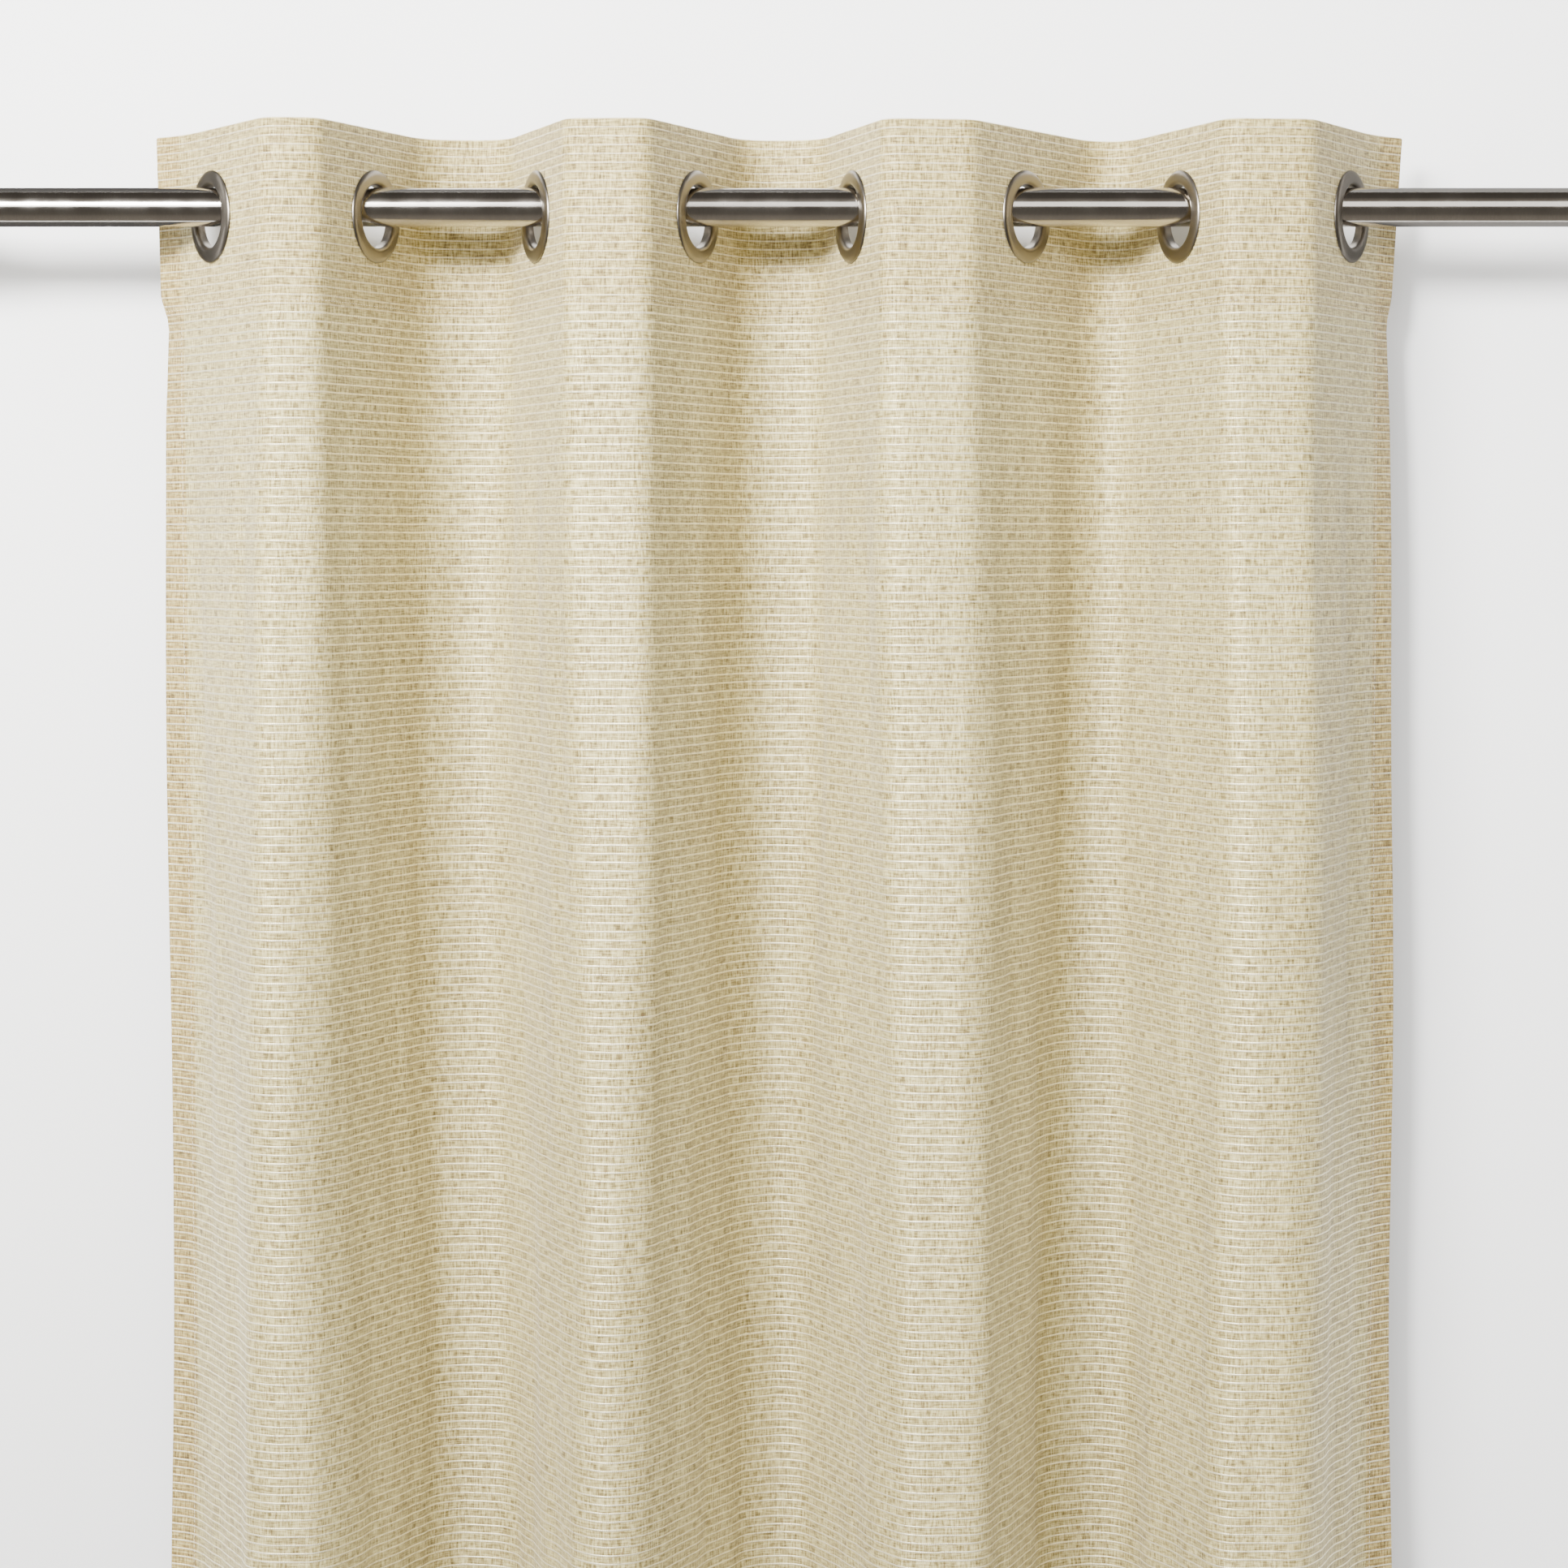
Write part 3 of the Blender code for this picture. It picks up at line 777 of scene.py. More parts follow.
    def edge(self, side: int, depth: Array, along: Array) -> tuple[Array, Array, Array]:
        """The free cloth outside the first or the last eyelet.

        Its direction goes smoothly from the eyelet's angle to a flatter one at the side. That last
        angle is halved in on, row by row, until the side lies as far out as side_reach says.

        Args:
            side: -1 for the left edge and 1 for the right.
            depth: Each row's depth.
            along: Distance from the eyelet, below 0 on the left and above 0 on the right.

        Returns:
            x, y and the direction's angle from +X.
        """
        index = 0 if side < 0 else len(self.eyelets) - 1
        sign = math.copysign(1.0, self.eyelets[index].turn)
        count = int(round((self.margin + self.edge_spare) / self.step)) + 1
        inside = int(round(self.margin / self.step)) + 1
        s = np.linspace(0.0, (count - 1) * self.step, count)[None, :]
        levels, reaches = np.array(self.side_reach[0 if side < 0 else 1]).T
        wave = np.sin(FULL_TURN * depth / self.edge_sway_length + self.phase[index, 3])
        lazy = self.edge_sway * wave * self.relax(depth)
        target = (np.interp(depth, levels, reaches) * MM + lazy)[:, None]
        turn = self.turn(index, depth)[:, None]
        low, high = np.zeros_like(turn), turn.copy()
        bend_start, bend_over = (share * self.margin for share in self.edge_bend)
        bend = smooth_step((s - bend_start) / bend_over)
        for _ in range(self.halvings):
            last = (low + high) / 2
            angle = turn + (last - turn) * bend
            far = np.trapz(np.cos(angle[:, :inside]), dx=self.step, axis=1)[:, None] > target
            low, high = np.where(far, last, low), np.where(far, high, last)
        angle = sign * angle
        x = self.crossing(index, depth)[:, None]
        if side > 0:
            return self.trace(s, angle, along, x, self.eyelets[index].y, 0)
        return self.trace(-s[:, ::-1], angle[:, ::-1], along, x, self.eyelets[index].y, count - 1)

    def ripple(self, across: Array, depth: Array) -> Array:
        """Slight unevenness of the hanging cloth, as a distance out from its face.

        It is a sum of slow waves, nearly upright, that grows from nothing below the heading.

        Args:
            across: Place on the flat cloth from its left side.
            depth: Depth below the top edge.

        Returns:
            The distance, shaped like the arguments.
        """
        grow = smooth_step((depth - self.heading) / self.ripple_over)
        total = np.zeros(np.broadcast(across, depth).shape)
        for size, cycles, climb, start in self.ripples:
            total += size * MM * np.sin(FULL_TURN * (cycles * across + climb * depth) + start)
        return total * grow


@dataclass
class SheetGrid:
    """Points of one piece of cloth before they are placed: all arrays are row by row."""

    along: Array
    row_depth: Array
    depth: Array
    lift: Array
    across: Array
    down: Array
    keep: Array


@dataclass
class Curtain:
    """The cloth panel: seven spans between eyelets, two free edges, side hems and seams."""

    finishes: Finishes
    eyelets: list[EyeletPlace]
    drape: Drape
    height: float = 2.5
    top: float = 50 * MM
    cloth: float = 0.7 * MM
    layer: float = 0.55 * MM
    heading_turn: float = 118 * MM
    bottom_turn: float = 80 * MM
    hem_width: float = 21 * MM
    hole: float = 22.5 * MM
    hole_square: float = 21 * MM
    hole_ease: float = 36 * MM
    fine: float = 3 * MM
    fine_steps: int = 12
    row_step: float = 9 * MM
    fold_rows: int = 6
    span_columns: int = 45
    edge_columns: int = 12
    deep_hem: float = 1.45 * MM
    shallow_hem: float = 0.45 * MM
    hem_ease: float = 12 * MM
    stitch_pitch: float = 3.3 * MM
    upright_pitch: float = 3.4 * MM
    seam_inset: float = 4 * MM
    side_seam_inset: float = 2.5 * MM
    stitch_half: float = 1.15 * MM
    thread: float = 0.17 * MM
    stitch_rings: int = 5
    stitch_sides: int = 6

    def rows(self) -> tuple[Array, Array, Array]:
        """The path of the cloth from the heading's back edge, over the top, down and round the hem.

        It is straight up, a half circle, straight down, a half circle and straight up again.

        Returns:
            Each row's depth, its distance in front of the middle layer and its length along the
            cloth from the top fold.
        """
        centre = self.top - self.eyelets[0].z
        near = np.arange(-self.fine_steps, self.fine_steps + 1) * self.fine + centre
        above = np.linspace(2 * self.layer, near[0], 8)[:-1]
        below = np.linspace(near[-1], self.heading_turn, 10)[1:]
        heading = np.concatenate([above, near, below])
        count = int(round((self.height - self.layer - self.heading_turn) / self.row_step))
        hanging = np.linspace(self.heading_turn, self.height - self.layer, count + 1)[1:]
        turn = np.linspace(0.0, math.pi, self.fold_rows)
        over_depth = self.layer * (1.0 - np.sin(turn))
        over_lift = -self.layer * np.cos(turn)
        hem = np.linspace(self.height - self.layer, self.height - self.bottom_turn, 10)
        depth = np.concatenate([
            heading[::-1],
            over_depth,
            heading,
            hanging,
            self.height - self.layer * (1.0 - np.sin(turn[1:-1])),
            hem,
        ])
        lift = np.concatenate([
            np.full(len(heading), -self.layer),
            over_lift,
            np.full(len(heading) + len(hanging), self.layer),
            self.layer * np.cos(turn[1:-1]),
            np.full(len(hem), -self.layer),
        ])
        length = np.concatenate([[0.0], np.cumsum(np.hypot(np.diff(depth), np.diff(lift)))])
        length -= length[len(heading) + self.fold_rows // 2]
        return depth, lift, length

    def columns(self, spare: bool) -> Array:
        """Distances along the cloth of a span's columns, or with spare those of a free edge."""
        near = np.arange(self.fine_steps + 1) * self.fine
        if spare:
            return np.concatenate([near, np.linspace(near[-1], self.drape.margin, self.edge_columns)[1:]])
        middle = np.linspace(near[-1], self.drape.pitch - near[-1], self.span_columns)
        return np.concatenate([near, middle[1:-1], self.drape.pitch - near[::-1]])

    def grid(self, along: Array, holes: Sequence[float], across: float) -> SheetGrid:
        """Lay out one piece of cloth, with its share of the eyelets' holes.

        A hole starts as a square on the grid. Round it every point is moved along its own
        radius, so that the square becomes a circle, and less and less so further out.

        Args:
            along: The columns' distances along the cloth.
            holes: Distances of the holes' centres.
            across: Where distance 0 lies on the flat cloth.

        Returns:
            The grid.
        """
        row_depth, row_lift, length = self.rows()
        centre = self.top - self.eyelets[0].z
        s, depth = np.meshgrid(along, row_depth)
        lift = np.repeat(row_lift[:, None], len(along), axis=1)
        keep = np.ones((len(row_depth) - 1, len(along) - 1), bool)
        for hole in holes:
            a, b = s - hole, depth - centre
            square = np.maximum(np.abs(a), np.abs(b))
            reach = np.maximum(np.hypot(a, b), 1e-9)
            share = np.clip((self.hole_ease - square) / (self.hole_ease - self.hole_square), 0.0, 1.0)
            factor = 1.0 - share + share * self.hole / self.hole_square * square / reach
            middle_a = (a[:-1, :-1] + a[1:, 1:]) / 2
            middle_b = (b[:-1, :-1] + b[1:, 1:]) / 2
            inside = np.maximum(np.abs(middle_a), np.abs(middle_b)) < self.hole_square
            keep &= ~inside
            s = hole + a * factor
            depth = centre + b * factor
        shift = (depth - row_depth[:, None]) * np.sign(length)[:, None]
        return SheetGrid(s, row_depth, depth, lift, s + across, -length[:, None] - shift, keep)

    def place(self, x: Array, y: Array, angle: Array, lift: Array, depth: Array) -> Array:
        """Points out from the cloth's middle: the face looks to the right of its direction."""
        return np.stack([x + lift * np.sin(angle), y - lift * np.cos(angle), self.top - depth], axis=-1)

    def lay(self, name: str, part: int, grid: SheetGrid, finish: Material) -> Object:
        """Place a grid on the drape and make it a piece.

        Args:
            name: The piece's name.
            part: The span's number from 1, or 0 for the left edge and -1 for the right one.
            grid: The grid.
            finish: Its material.

        Returns:
            The piece, as sheet with its thickness.
        """
        x, y, angle = self.follow(part, grid.row_depth, grid.along)
        lift = grid.lift + self.drape.ripple(grid.across, grid.depth)
        points = self.place(x, y, angle, lift, grid.depth)
        quads = grid_quads(*grid.along.shape)[grid.keep]
        flat = np.stack([grid.across, grid.down], axis=-1)
        piece = add_mesh(name, points, [quads], flat)
        drop_loose_points(piece)
        piece.data.materials.append(finish)
        give_thickness(piece, self.cloth)
        return piece

    def follow(self, part: int, depth: Array, along: Array) -> tuple[Array, Array, Array]:
        """The plan of one part of the drape: a span by its number, 0 or -1 for an edge."""
        if part > 0:
            return self.drape.fold(part - 1, depth, along)
        return self.drape.edge(-1 if part == 0 else 1, depth, along)

    def span(self, number: int) -> Object:
        """The cloth between two eyelets.

        Args:
            number: The left eyelet's number.

        Returns:
            The span.
        """
        columns = self.columns(spare=False)
        across = self.drape.margin + (number - 1) * self.drape.pitch
        grid = self.grid(columns, (0.0, self.drape.pitch), across)
        piece = self.lay(f"curtain_span_{number}", number, grid, self.finishes.linen)
        seams = self.seams(number, columns[[0, -1]], across)
        nodes = [f"heading_{number}", f"cloth_strip_{number}", f"cloth_fold_{number}"]
        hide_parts(*nodes)
        for item in (piece, *seams):
            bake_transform(item)
        return piece

    def edge(self, side: int) -> Object:
        """The free cloth at one side, with its side hem turned to the back.

        Args:
            side: -1 for the left edge and 1 for the right.

        Returns:
            The free cloth, without its hem.
        """
        word, number, part = ("left", 1, 0) if side < 0 else ("right", len(self.eyelets), -1)
        columns = np.sort(side * self.columns(spare=True))
        across = self.drape.margin + (number - 1) * self.drape.pitch
        grid = self.grid(columns, (0.0,), across)
        piece = self.lay(f"curtain_edge_{word}", part, grid, self.finishes.linen)
        seams = self.seams(part, columns[[0, -1]], across)
        hem = self.side_hem(side, word, part, across)
        stitches = self.upright_seam(side, word, part)
        if side > 0:
            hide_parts(f"heading_{number}", f"cloth_strip_{number}")
        for item in (piece, *seams, hem, stitches):
            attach(item, f"eyelet_{number}")
        return piece

    def side_hem(self, side: int, word: str, part: int, across: float) -> Object:
        """The cloth turned round the side edge to the back.

        Across, it is a half circle and then a straight run. In the heading the half circle is
        wider, so that the hem lies behind both layers.

        Args:
            side: -1 or 1.
            word: The side's name.
            part: The drape's part.
            across: Where the eyelet's column lies on the flat cloth.

        Returns:
            The hem.
        """
        heading = np.linspace(self.layer, self.heading_turn + 2 * MM, 30)
        depth = np.concatenate([
            heading,
            np.linspace(heading[-1], heading[-1] + self.hem_ease, 6)[1:],
            np.linspace(heading[-1] + self.hem_ease, self.height - self.layer, 260)[1:],
        ])
        deep, shallow = self.layer + self.deep_hem, self.layer + self.shallow_hem
        gap = deep + (shallow - deep) * smooth_step((depth - heading[-1]) / self.hem_ease)
        bottom_start = self.height - self.bottom_turn - self.hem_ease
        bottom = smooth_step((depth - bottom_start) / self.hem_ease)
        gap = (gap + (deep - gap) * bottom)[:, None]
        turn = np.linspace(0.0, math.pi, 8)[None, :]
        radius = gap / 2
        run = np.linspace(0.0, self.hem_width, 12)[None, 1:]
        out = np.hstack([radius * np.sin(turn), np.repeat(-run, len(depth), axis=0)])
        back = np.hstack([radius * (1.0 - np.cos(turn)), np.repeat(gap, run.shape[1], axis=1)])
        along = side * (self.drape.margin + out)
        flat_across = np.hstack([
            across + side * (self.drape.margin - radius * turn),
            across + side * (self.drape.margin - radius * math.pi - run),
        ])
        level = np.repeat(depth[:, None], along.shape[1], axis=1)
        x, y, angle = self.follow(part, depth, along)
        edge_across = np.full_like(level, across + side * self.drape.margin)
        ripple = self.drape.ripple(edge_across - side * np.maximum(-out, 0.0), level)
        points = self.place(x, y, angle, self.layer - back + ripple, level)
        flat = np.stack([flat_across, -level], axis=-1)
        quads = grid_quads(*level.shape)
        piece = add_mesh(f"side_hem_{word}", points, [quads], flat)
        piece.data.materials.append(self.finishes.hem_linen)
        give_thickness(piece, self.cloth)
        return piece

    def seams(self, part: int, ends: Array, across: float) -> list[Object]:
        """Rows of stitches along the heading's lower edge and the bottom hem's upper edge.

        Args:
            part: The drape's part.
            ends: Distances along the cloth where the rows start and end.
            across: Where the eyelet's column lies on the flat cloth.

        Returns:
            The heading's row and the hem's row.
        """
        names = {0: "left", -1: "right"}
        made = []
        for kind, depth in (
            ("heading", self.heading_turn - self.seam_inset),
            ("hem", self.height - self.bottom_turn + self.seam_inset),
        ):
            length = ends[1] - ends[0]
            count = int(length / self.stitch_pitch)
            start = ends[0] + (np.arange(count) + 0.5) * length / count
            middle = np.stack([start, np.full(count, depth)], axis=1)
            name = f"{kind}_seam_{names.get(part, part)}"
            made.append(self.stitches(name, part, middle, np.array([1.0, 0.0]), across))
        return made

    def upright_seam(self, side: int, word: str, part: int) -> Object:
        """The row of stitches that holds a side hem.

        Args:
            side: -1 for the left edge and 1 for the right.
            word: The side's name.
            part: The drape's part.

        Returns:
            The stitches.
        """
        low, high = self.heading_turn + 6 * MM, self.height - self.seam_inset
        count = int((high - low) / self.upright_pitch)
        depth = low + (np.arange(count) + 0.5) * (high - low) / count
        along = side * (self.drape.margin - self.hem_width + self.side_seam_inset)
        spans = 0 if side < 0 else len(self.eyelets) - 1
        across = self.drape.margin + spans * self.drape.pitch
        middle = np.stack([np.full(count, along), depth], axis=1)
        return self.stitches(f"side_seam_{word}", part, middle, np.array([0.0, 1.0]), across)

    def stitches(self, name: str, part: int, middle: Array, way: Array, across: float) -> Object:
        """Short stitches that lie on the cloth's face.

        Each is a tube of six sides along a low arch: its distance out from the cloth follows
        half a sine wave, and its radius shrinks at both ends.

        Args:
            name: The piece's name.
            part: The drape's part.
            middle: Each stitch's middle, as distance along the cloth and depth.
            way: The stitches' direction in those two.
            across: Where the eyelet's column lies on the flat cloth.

        Returns:
            The stitches as one piece.
        """
        rings, sides = self.stitch_rings, self.stitch_sides
        t = np.linspace(-1.0, 1.0, rings)
        arch = self.cloth / 2 + self.layer + self.thread * (0.9 * np.cos(t * math.pi / 2) - 0.35)
        radius = self.thread * np.sqrt(1.0 - 0.8 * t**2)
        turn = np.arange(sides) * FULL_TURN / sides
        ring_side = radius[:, None] * np.cos(turn)
        ring_out = arch[:, None] + radius[:, None] * np.sin(turn)
        cross = np.array([-way[1], way[0]])
        flat = middle[:, None, None, :] + (t * self.stitch_half)[None, :, None, None] * way
        flat = flat + ring_side[None, ..., None] * cross
        along, depth = flat[..., 0], flat[..., 1]
        count = len(middle)
        x, y, angle = self.follow(part, depth.reshape(count, -1).mean(1), along.reshape(count, -1))
        shape = along.shape
        lift = np.broadcast_to(ring_out, shape) + self.drape.ripple(along + across, depth)
        points = self.place(x.reshape(shape), y.reshape(shape), angle.reshape(shape), lift, depth)
        block = np.arange(rings * sides).reshape(rings, sides)
        following = np.roll(block, -1, axis=1)
        walls = np.stack([block[:-1], block[1:], following[1:], following[:-1]], axis=-1).reshape(-1, 4)
        ends = np.stack([block[0], block[-1][::-1]])
        shift = (np.arange(count) * block.size)[:, None, None]
        piece = add_mesh(name, points, [walls[None] + shift, ends[None] + shift])
        recalculate_normals(piece)
        piece.data.materials.append(self.finishes.thread)
        return piece

    def build(self) -> None:
        """Make every piece of the panel."""
        for number in range(1, len(self.eyelets)):
            piece = self.span(number)
            log.info("%s: %d points", piece.name, len(piece.data.vertices))
        for side in (-1, 1):
            piece = self.edge(side)
            log.info("%s: %d points", piece.name, len(piece.data.vertices))


# Eyelets


@dataclass
class Eyelets:
    """The pressed front rings with their barrels, and the rings clinched on behind."""

    finishes: Finishes
    eyelets: list[EyeletPlace]
    sheet: float = 0.7 * MM
    back_sheet: float = 0.6 * MM
    segments: int = 96
    sharp: float = math.radians(50)
    front_line_mm: tuple[tuple[float, float], ...] = (
        (20.4, -3.2),
        (20.4, -1.2),
        (20.4, 0.7),
        (20.65, 2.1),
        (21.5, 3.05),
        (22.7, 3.35),
        (24.6, 3.2),
        (26.7, 2.95),
        (28.3, 2.55),
        (29.3, 1.95),
        (29.6, 1.35),
    )
    back_line_mm: tuple[tuple[float, float], ...] = (
        (29.6, -1.35),
        (28.9, -2.1),
        (27.2, -2.5),
        (24.6, -2.9),
        (22.8, -2.95),
        (21.6, -2.5),
    )

    def turned(
        self, name: str, line: Sequence[tuple[float, float]], sheet: float, place: EyeletPlace
    ) -> Object:
        """Turn a sheet section round the eyelet's axis.

        A section point at (radius, out) goes to radius along a direction in the cloth's plane
        and out along the face's own direction.

        Args:
            name: The piece's name.
            line: The section's mid-line, as (radius, distance out from the cloth) in millimetres.
            sheet: The thickness of the metal.
            place: The eyelet's place.

        Returns:
            The ring.
        """
        section = sheet_section(smooth_line(line, 4) * MM, sheet)
        turn = np.arange(self.segments) * FULL_TURN / self.segments
        along = np.outer(np.cos(turn), section[:, 0])
        up = np.outer(np.sin(turn), section[:, 0])
        out = np.broadcast_to(section[:, 1], along.shape)
        cos, sin = math.cos(place.turn), math.sin(place.turn)
        x, y = place.x + along * cos + out * sin, place.y + along * sin - out * cos
        points = np.stack([x, y, place.z + up], axis=-1)
        number = np.arange(points[..., 0].size).reshape(points.shape[:2])
        number = np.hstack([number, number[:, :1]])
        number = np.vstack([number, number[:1]])
        quads = np.stack([number[:-1, :-1], number[1:, :-1], number[1:, 1:], number[:-1, 1:]], axis=-1)
        ring = add_mesh(name, points, [quads])
        recalculate_normals(ring)
        ring.data.set_sharp_from_angle(angle=self.sharp)
        ring.data.materials.append(self.finishes.nickel)
        return ring

    def build(self) -> None:
        """Make both rings of every eyelet."""
        for place in self.eyelets:
            number = place.number
            for word, node, line, sheet in (
                ("ring", "front", self.front_line_mm, self.sheet),
                ("washer", "back", self.back_line_mm, self.back_sheet),
            ):
                piece = self.turned(f"eyelet_{word}_{number}", line, sheet, place)
                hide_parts(f"eyelet_{node}_{number}")
                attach(piece, f"eyelet_{number}")
            log.info("eyelet %d: turned ring and washer", number)


# Pole and brackets


class Edge(Enum):
    """How far a hard piece's edges are rounded, in metres."""

    CRISP = 0.12 * MM
    SOFT = 0.3 * MM


@dataclass
class Hardware:
    """The pole, its caps, the brackets and their screws, with softened edges."""

    finishes: Finishes
    sharp: float = math.radians(35)
    merge: float = 0.01 * MM

    def refine(self, node: str, finish: Material, edge: Edge) -> Object:
        """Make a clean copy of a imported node, smooth where it is round and with rounded edges.

        Args:
            node: The node's name.
            finish: The copy's material.
            edge: How far edges are rounded.

        Returns:
            The copy, which stands for the node.
        """
        source = frame["nodes"][node]
        mesh = bpy.data.meshes.new(f"{node}_fine")
        shape = bmesh.new()
        shape.from_mesh(source.data)
        bmesh.ops.remove_doubles(shape, verts=shape.verts, dist=self.merge)
        bmesh.ops.dissolve_limit(shape, angle_limit=math.radians(1), verts=shape.verts, edges=shape.edges)
        shape.to_mesh(mesh)
        shape.free()
        mesh.shade_smooth()
        mesh.set_sharp_from_angle(angle=self.sharp)
        piece = bpy.data.objects.new(f"{node}_fine", mesh)
        bpy.context.scene.collection.objects.link(piece)
        bevel = piece.modifiers.new("Edges", "BEVEL")
        bevel.width = edge.value
        bevel.segments = 2
        bevel.limit_method = "ANGLE"
        bevel.angle_limit = self.sharp
        bevel.harden_normals = True
        mesh.materials.append(finish)
        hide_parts(node)
        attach(piece, "pole")
        return piece

    def build(self) -> None:
        """Refine every node of the pole's body."""
        for node, holder in sorted(frame["nodes"].items()):
            if holder["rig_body"] != "pole":
                continue
            if "screw" in node or "plate" in node:
                self.refine(node, self.finishes.zinc, Edge.CRISP)
            elif node == "pole_tube":
                self.refine(node, self.finishes.pole, Edge.CRISP)
            else:
                self.refine(node, self.finishes.fitting, Edge.SOFT)
            log.info("%s: edges softened", node)


# Studio


@dataclass(frozen=True)
class Lamp:
    """A soft rectangular light: width and height, watts, and the angle it spreads in, in degrees.

    With mirrored, metal and gloss show it.
    """

    name: str
    place: Point
    size: tuple[float, float]
    power: float
    target: Point
    spread: float = 180.0
    mirrored: bool = False


FRONT = (-0.1, 0.0, 0.12)
LAMPS = (
    Lamp("key_light", (-1.5, -2.95, 1.0), (1.3, 0.6), 59.0, FRONT, spread=58.0, mirrored=True),
    Lamp("soft_box", (-1.75, -3.0, 0.8), (2.9, 1.5), 142.0, FRONT, mirrored=True),
    Lamp("window_light", (-1.7, -1.3, 0.9), (0.9, 0.9), 16.0, (-0.3, 0.0, 0.1)),
    Lamp("fill_light", (2.9, -2.3, 0.2), (1.6, 2.2), 84.0, (0.0, -0.1, -0.2)),
    Lamp("front_panel", (0.9, -3.0, 0.8), (2.4, 1.5), 26.0, FRONT, mirrored=True),
    Lamp("low_light", (-0.4, -3.2, -1.6), (2.6, 1.2), 22.0, (0.0, -0.1, -1.9)),
)


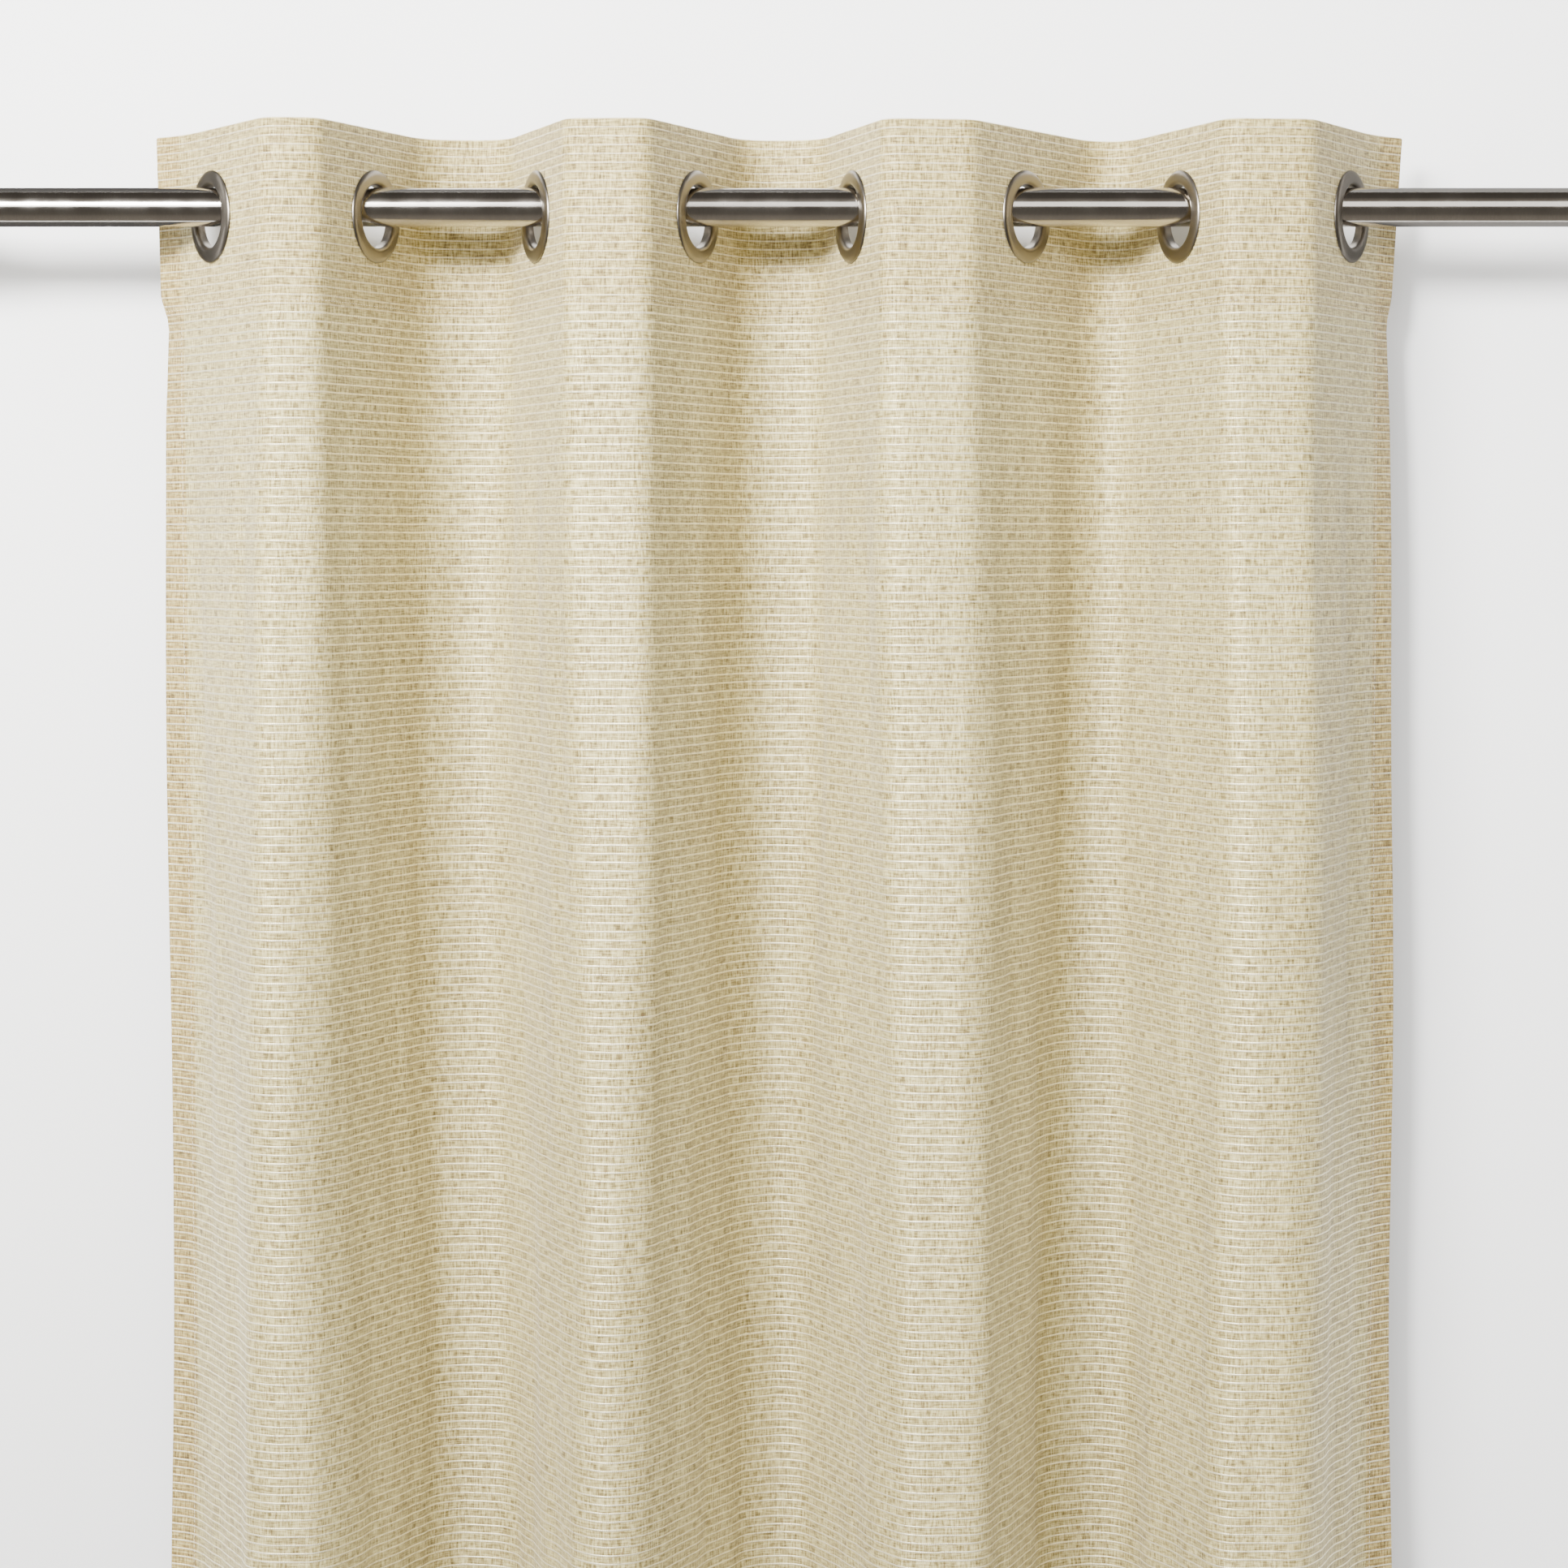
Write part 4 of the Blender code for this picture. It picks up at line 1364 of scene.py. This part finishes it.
@dataclass
class Studio:
    """Wall, floor, light and camera, which are not part of the curtain."""

    wall_size: tuple[float, float] = (3.6, 3.4)
    floor_depth: float = 0.9
    floor_back: float = 1.6
    floor_level: float = -2.5
    wall_y: float = 0.4 * MM
    strip_y: float = -4 * MM
    dome_power: float = 1.7
    dome_soft: tuple[tuple[float, float], ...] = (
        (0.0, 0.5), (0.27, 0.35), (0.52, 0.55), (0.75, 0.6), (1.0, 0.3),
    )
    dome_metal: tuple[tuple[float, float], ...] = (
        (0.0, 0.3), (0.16, 0.14), (0.43, 0.10), (0.5, 0.3), (0.76, 0.3), (0.9, 0.10), (1.0, 0.08),
    )
    eye: Point = (0.0, -2.45, -0.22)
    pitch: float = math.radians(-3.79)
    lens: float = 82.3

    def plane(self, name: str, corners: Array, finish: PaintFinish) -> Object:
        """A flat piece of the studio from its four corners."""
        piece = add_mesh(name, corners, [np.array([[0, 1, 2, 3]])])
        piece.data.materials.append(finish.build())
        return piece

    def set_walls(self) -> None:
        """A pale wall just behind the brackets, and a pale floor just below the hem."""
        half, high = self.wall_size[0] / 2, self.wall_size[1] + self.floor_level
        y, low = self.wall_y, self.floor_level
        wall = np.array([(-half, y, low), (half, y, low), (half, y, high), (-half, y, high)])
        paint = PaintFinish("wall_paint", (0.80, 0.795, 0.785), see_through_back=True)
        backdrop = self.plane("studio_wall", wall, paint)
        backdrop.visible_shadow = False
        front, rear = -self.floor_depth, self.floor_back
        floor = np.array([(-half, front, low), (half, front, low), (half, rear, low), (-half, rear, low)])
        ground = self.plane("studio_floor", floor, PaintFinish("floor_paint", (0.78, 0.775, 0.76)))
        ground.visible_glossy = False

    def add_light(self, lamp: Lamp) -> None:
        """Hang one soft rectangular light, which the camera doesn't see."""
        data = bpy.data.lights.new(lamp.name, "AREA")
        data.shape = "RECTANGLE"
        data.size, data.size_y = lamp.size
        data.energy = lamp.power
        data.spread = math.radians(lamp.spread)
        light = bpy.data.objects.new(lamp.name, data)
        light.location = lamp.place
        aim = Vector(lamp.target) - Vector(lamp.place)
        light.rotation_euler = aim.to_track_quat("-Z", "Y").to_euler()
        light.visible_camera = False
        light.visible_glossy = lamp.mirrored
        bpy.context.scene.collection.objects.link(light)

    def dome_level(self, g: Graph, height: Any, stops: Sequence[tuple[float, float]]) -> Socket:
        """A grey level that goes through given stops as a direction rises.

        Args:
            g: The dome's graph.
            height: The direction's height, from 0 straight down to 1 straight up.
            stops: Heights with their levels, from the lowest to the highest.

        Returns:
            The level, as a colour.
        """
        ramp = g.add("ShaderNodeValToRGB", {0: height})
        elements = ramp.color_ramp.elements
        for element, (position, level) in zip((elements[0], elements[1]), (stops[0], stops[-1])):
            element.position, element.color = position, (level, level, level, 1.0)
        for position, level in stops[1:-1]:
            elements.new(position).color = (level, level, level, 1.0)
        return ramp.outputs[0]

    def set_dome(self) -> None:
        """A soft studio dome: even for cloth, dark in metal, pale behind the wall's ends."""
        world = bpy.data.worlds.new("studio_dome")
        world.use_nodes = True
        g = Graph(world.node_tree)
        way = g.add("ShaderNodeTexCoord").outputs["Generated"]
        height = g.math("MULTIPLY_ADD", g.add("ShaderNodeSeparateXYZ", {0: way}).outputs[2], 0.5, 0.5)
        soft = self.dome_level(g, height, self.dome_soft)
        soft = g.mix(1.0, soft, (self.dome_power,) * 3, "MULTIPLY")
        metal = self.dome_level(g, height, self.dome_metal)
        metal = g.mix(1.0, metal, (1.0, 0.9, 0.78), "MULTIPLY")
        ray = g.add("ShaderNodeLightPath").outputs
        shade = g.mix(ray["Is Glossy Ray"], soft, metal)
        shade = g.mix(ray["Is Camera Ray"], shade, (4.0, 4.0, 3.97))
        g.feed(world.node_tree.nodes["Background"].inputs["Color"], shade)
        bpy.context.scene.world = world

    def set_strips(self) -> None:
        """Three dark strips just in front of the wall, which only metal and gloss show."""
        y = self.strip_y
        strips = (
            ("left", -0.8, -0.385, -0.6, 0.8, 0.025),
            ("right", 0.385, 0.8, -0.6, 0.8, 0.12),
            ("top", -0.385, 0.385, 0.12, 0.8, 0.05),
        )
        for name, left, right, low, high, shade in strips:
            corners = np.array([(left, y, low), (right, y, low), (right, y, high), (left, y, high)])
            card = self.plane(f"studio_flag_{name}", corners, PaintFinish(f"flag_{name}", (shade,) * 3))
            card.visible_camera = card.visible_diffuse = False
            card.visible_shadow = card.visible_transmission = False

    def set_camera(self) -> None:
        """A level camera that looks a little down at the upper part of the curtain."""
        data = bpy.data.cameras.new("camera")
        data.lens = self.lens
        data.clip_end = 50.0
        camera = bpy.data.objects.new("camera", data)
        camera.location = self.eye
        camera.rotation_euler = (math.pi / 2 + self.pitch, 0.0, 0.0)
        bpy.context.scene.collection.objects.link(camera)
        bpy.context.scene.camera = camera

    def build(self) -> None:
        """Set up the whole studio."""
        self.set_camera()
        self.set_walls()
        for lamp in LAMPS:
            self.add_light(lamp)
        self.set_dome()
        self.set_strips()
        log.info("studio: camera, wall, floor, %d lights, a dome and dark strips", len(LAMPS))


def main() -> None:
    """Build the curtain piece by piece."""
    logging.basicConfig(level=logging.INFO, format="%(message)s")
    studio = Studio()
    studio.build()
    finishes = Finishes()
    eyelets = read_eyelets()
    Eyelets(finishes, eyelets).build()
    Hardware(finishes).build()
    Curtain(finishes, eyelets, Drape(eyelets)).build()


if __name__ == "__main__":
    main()
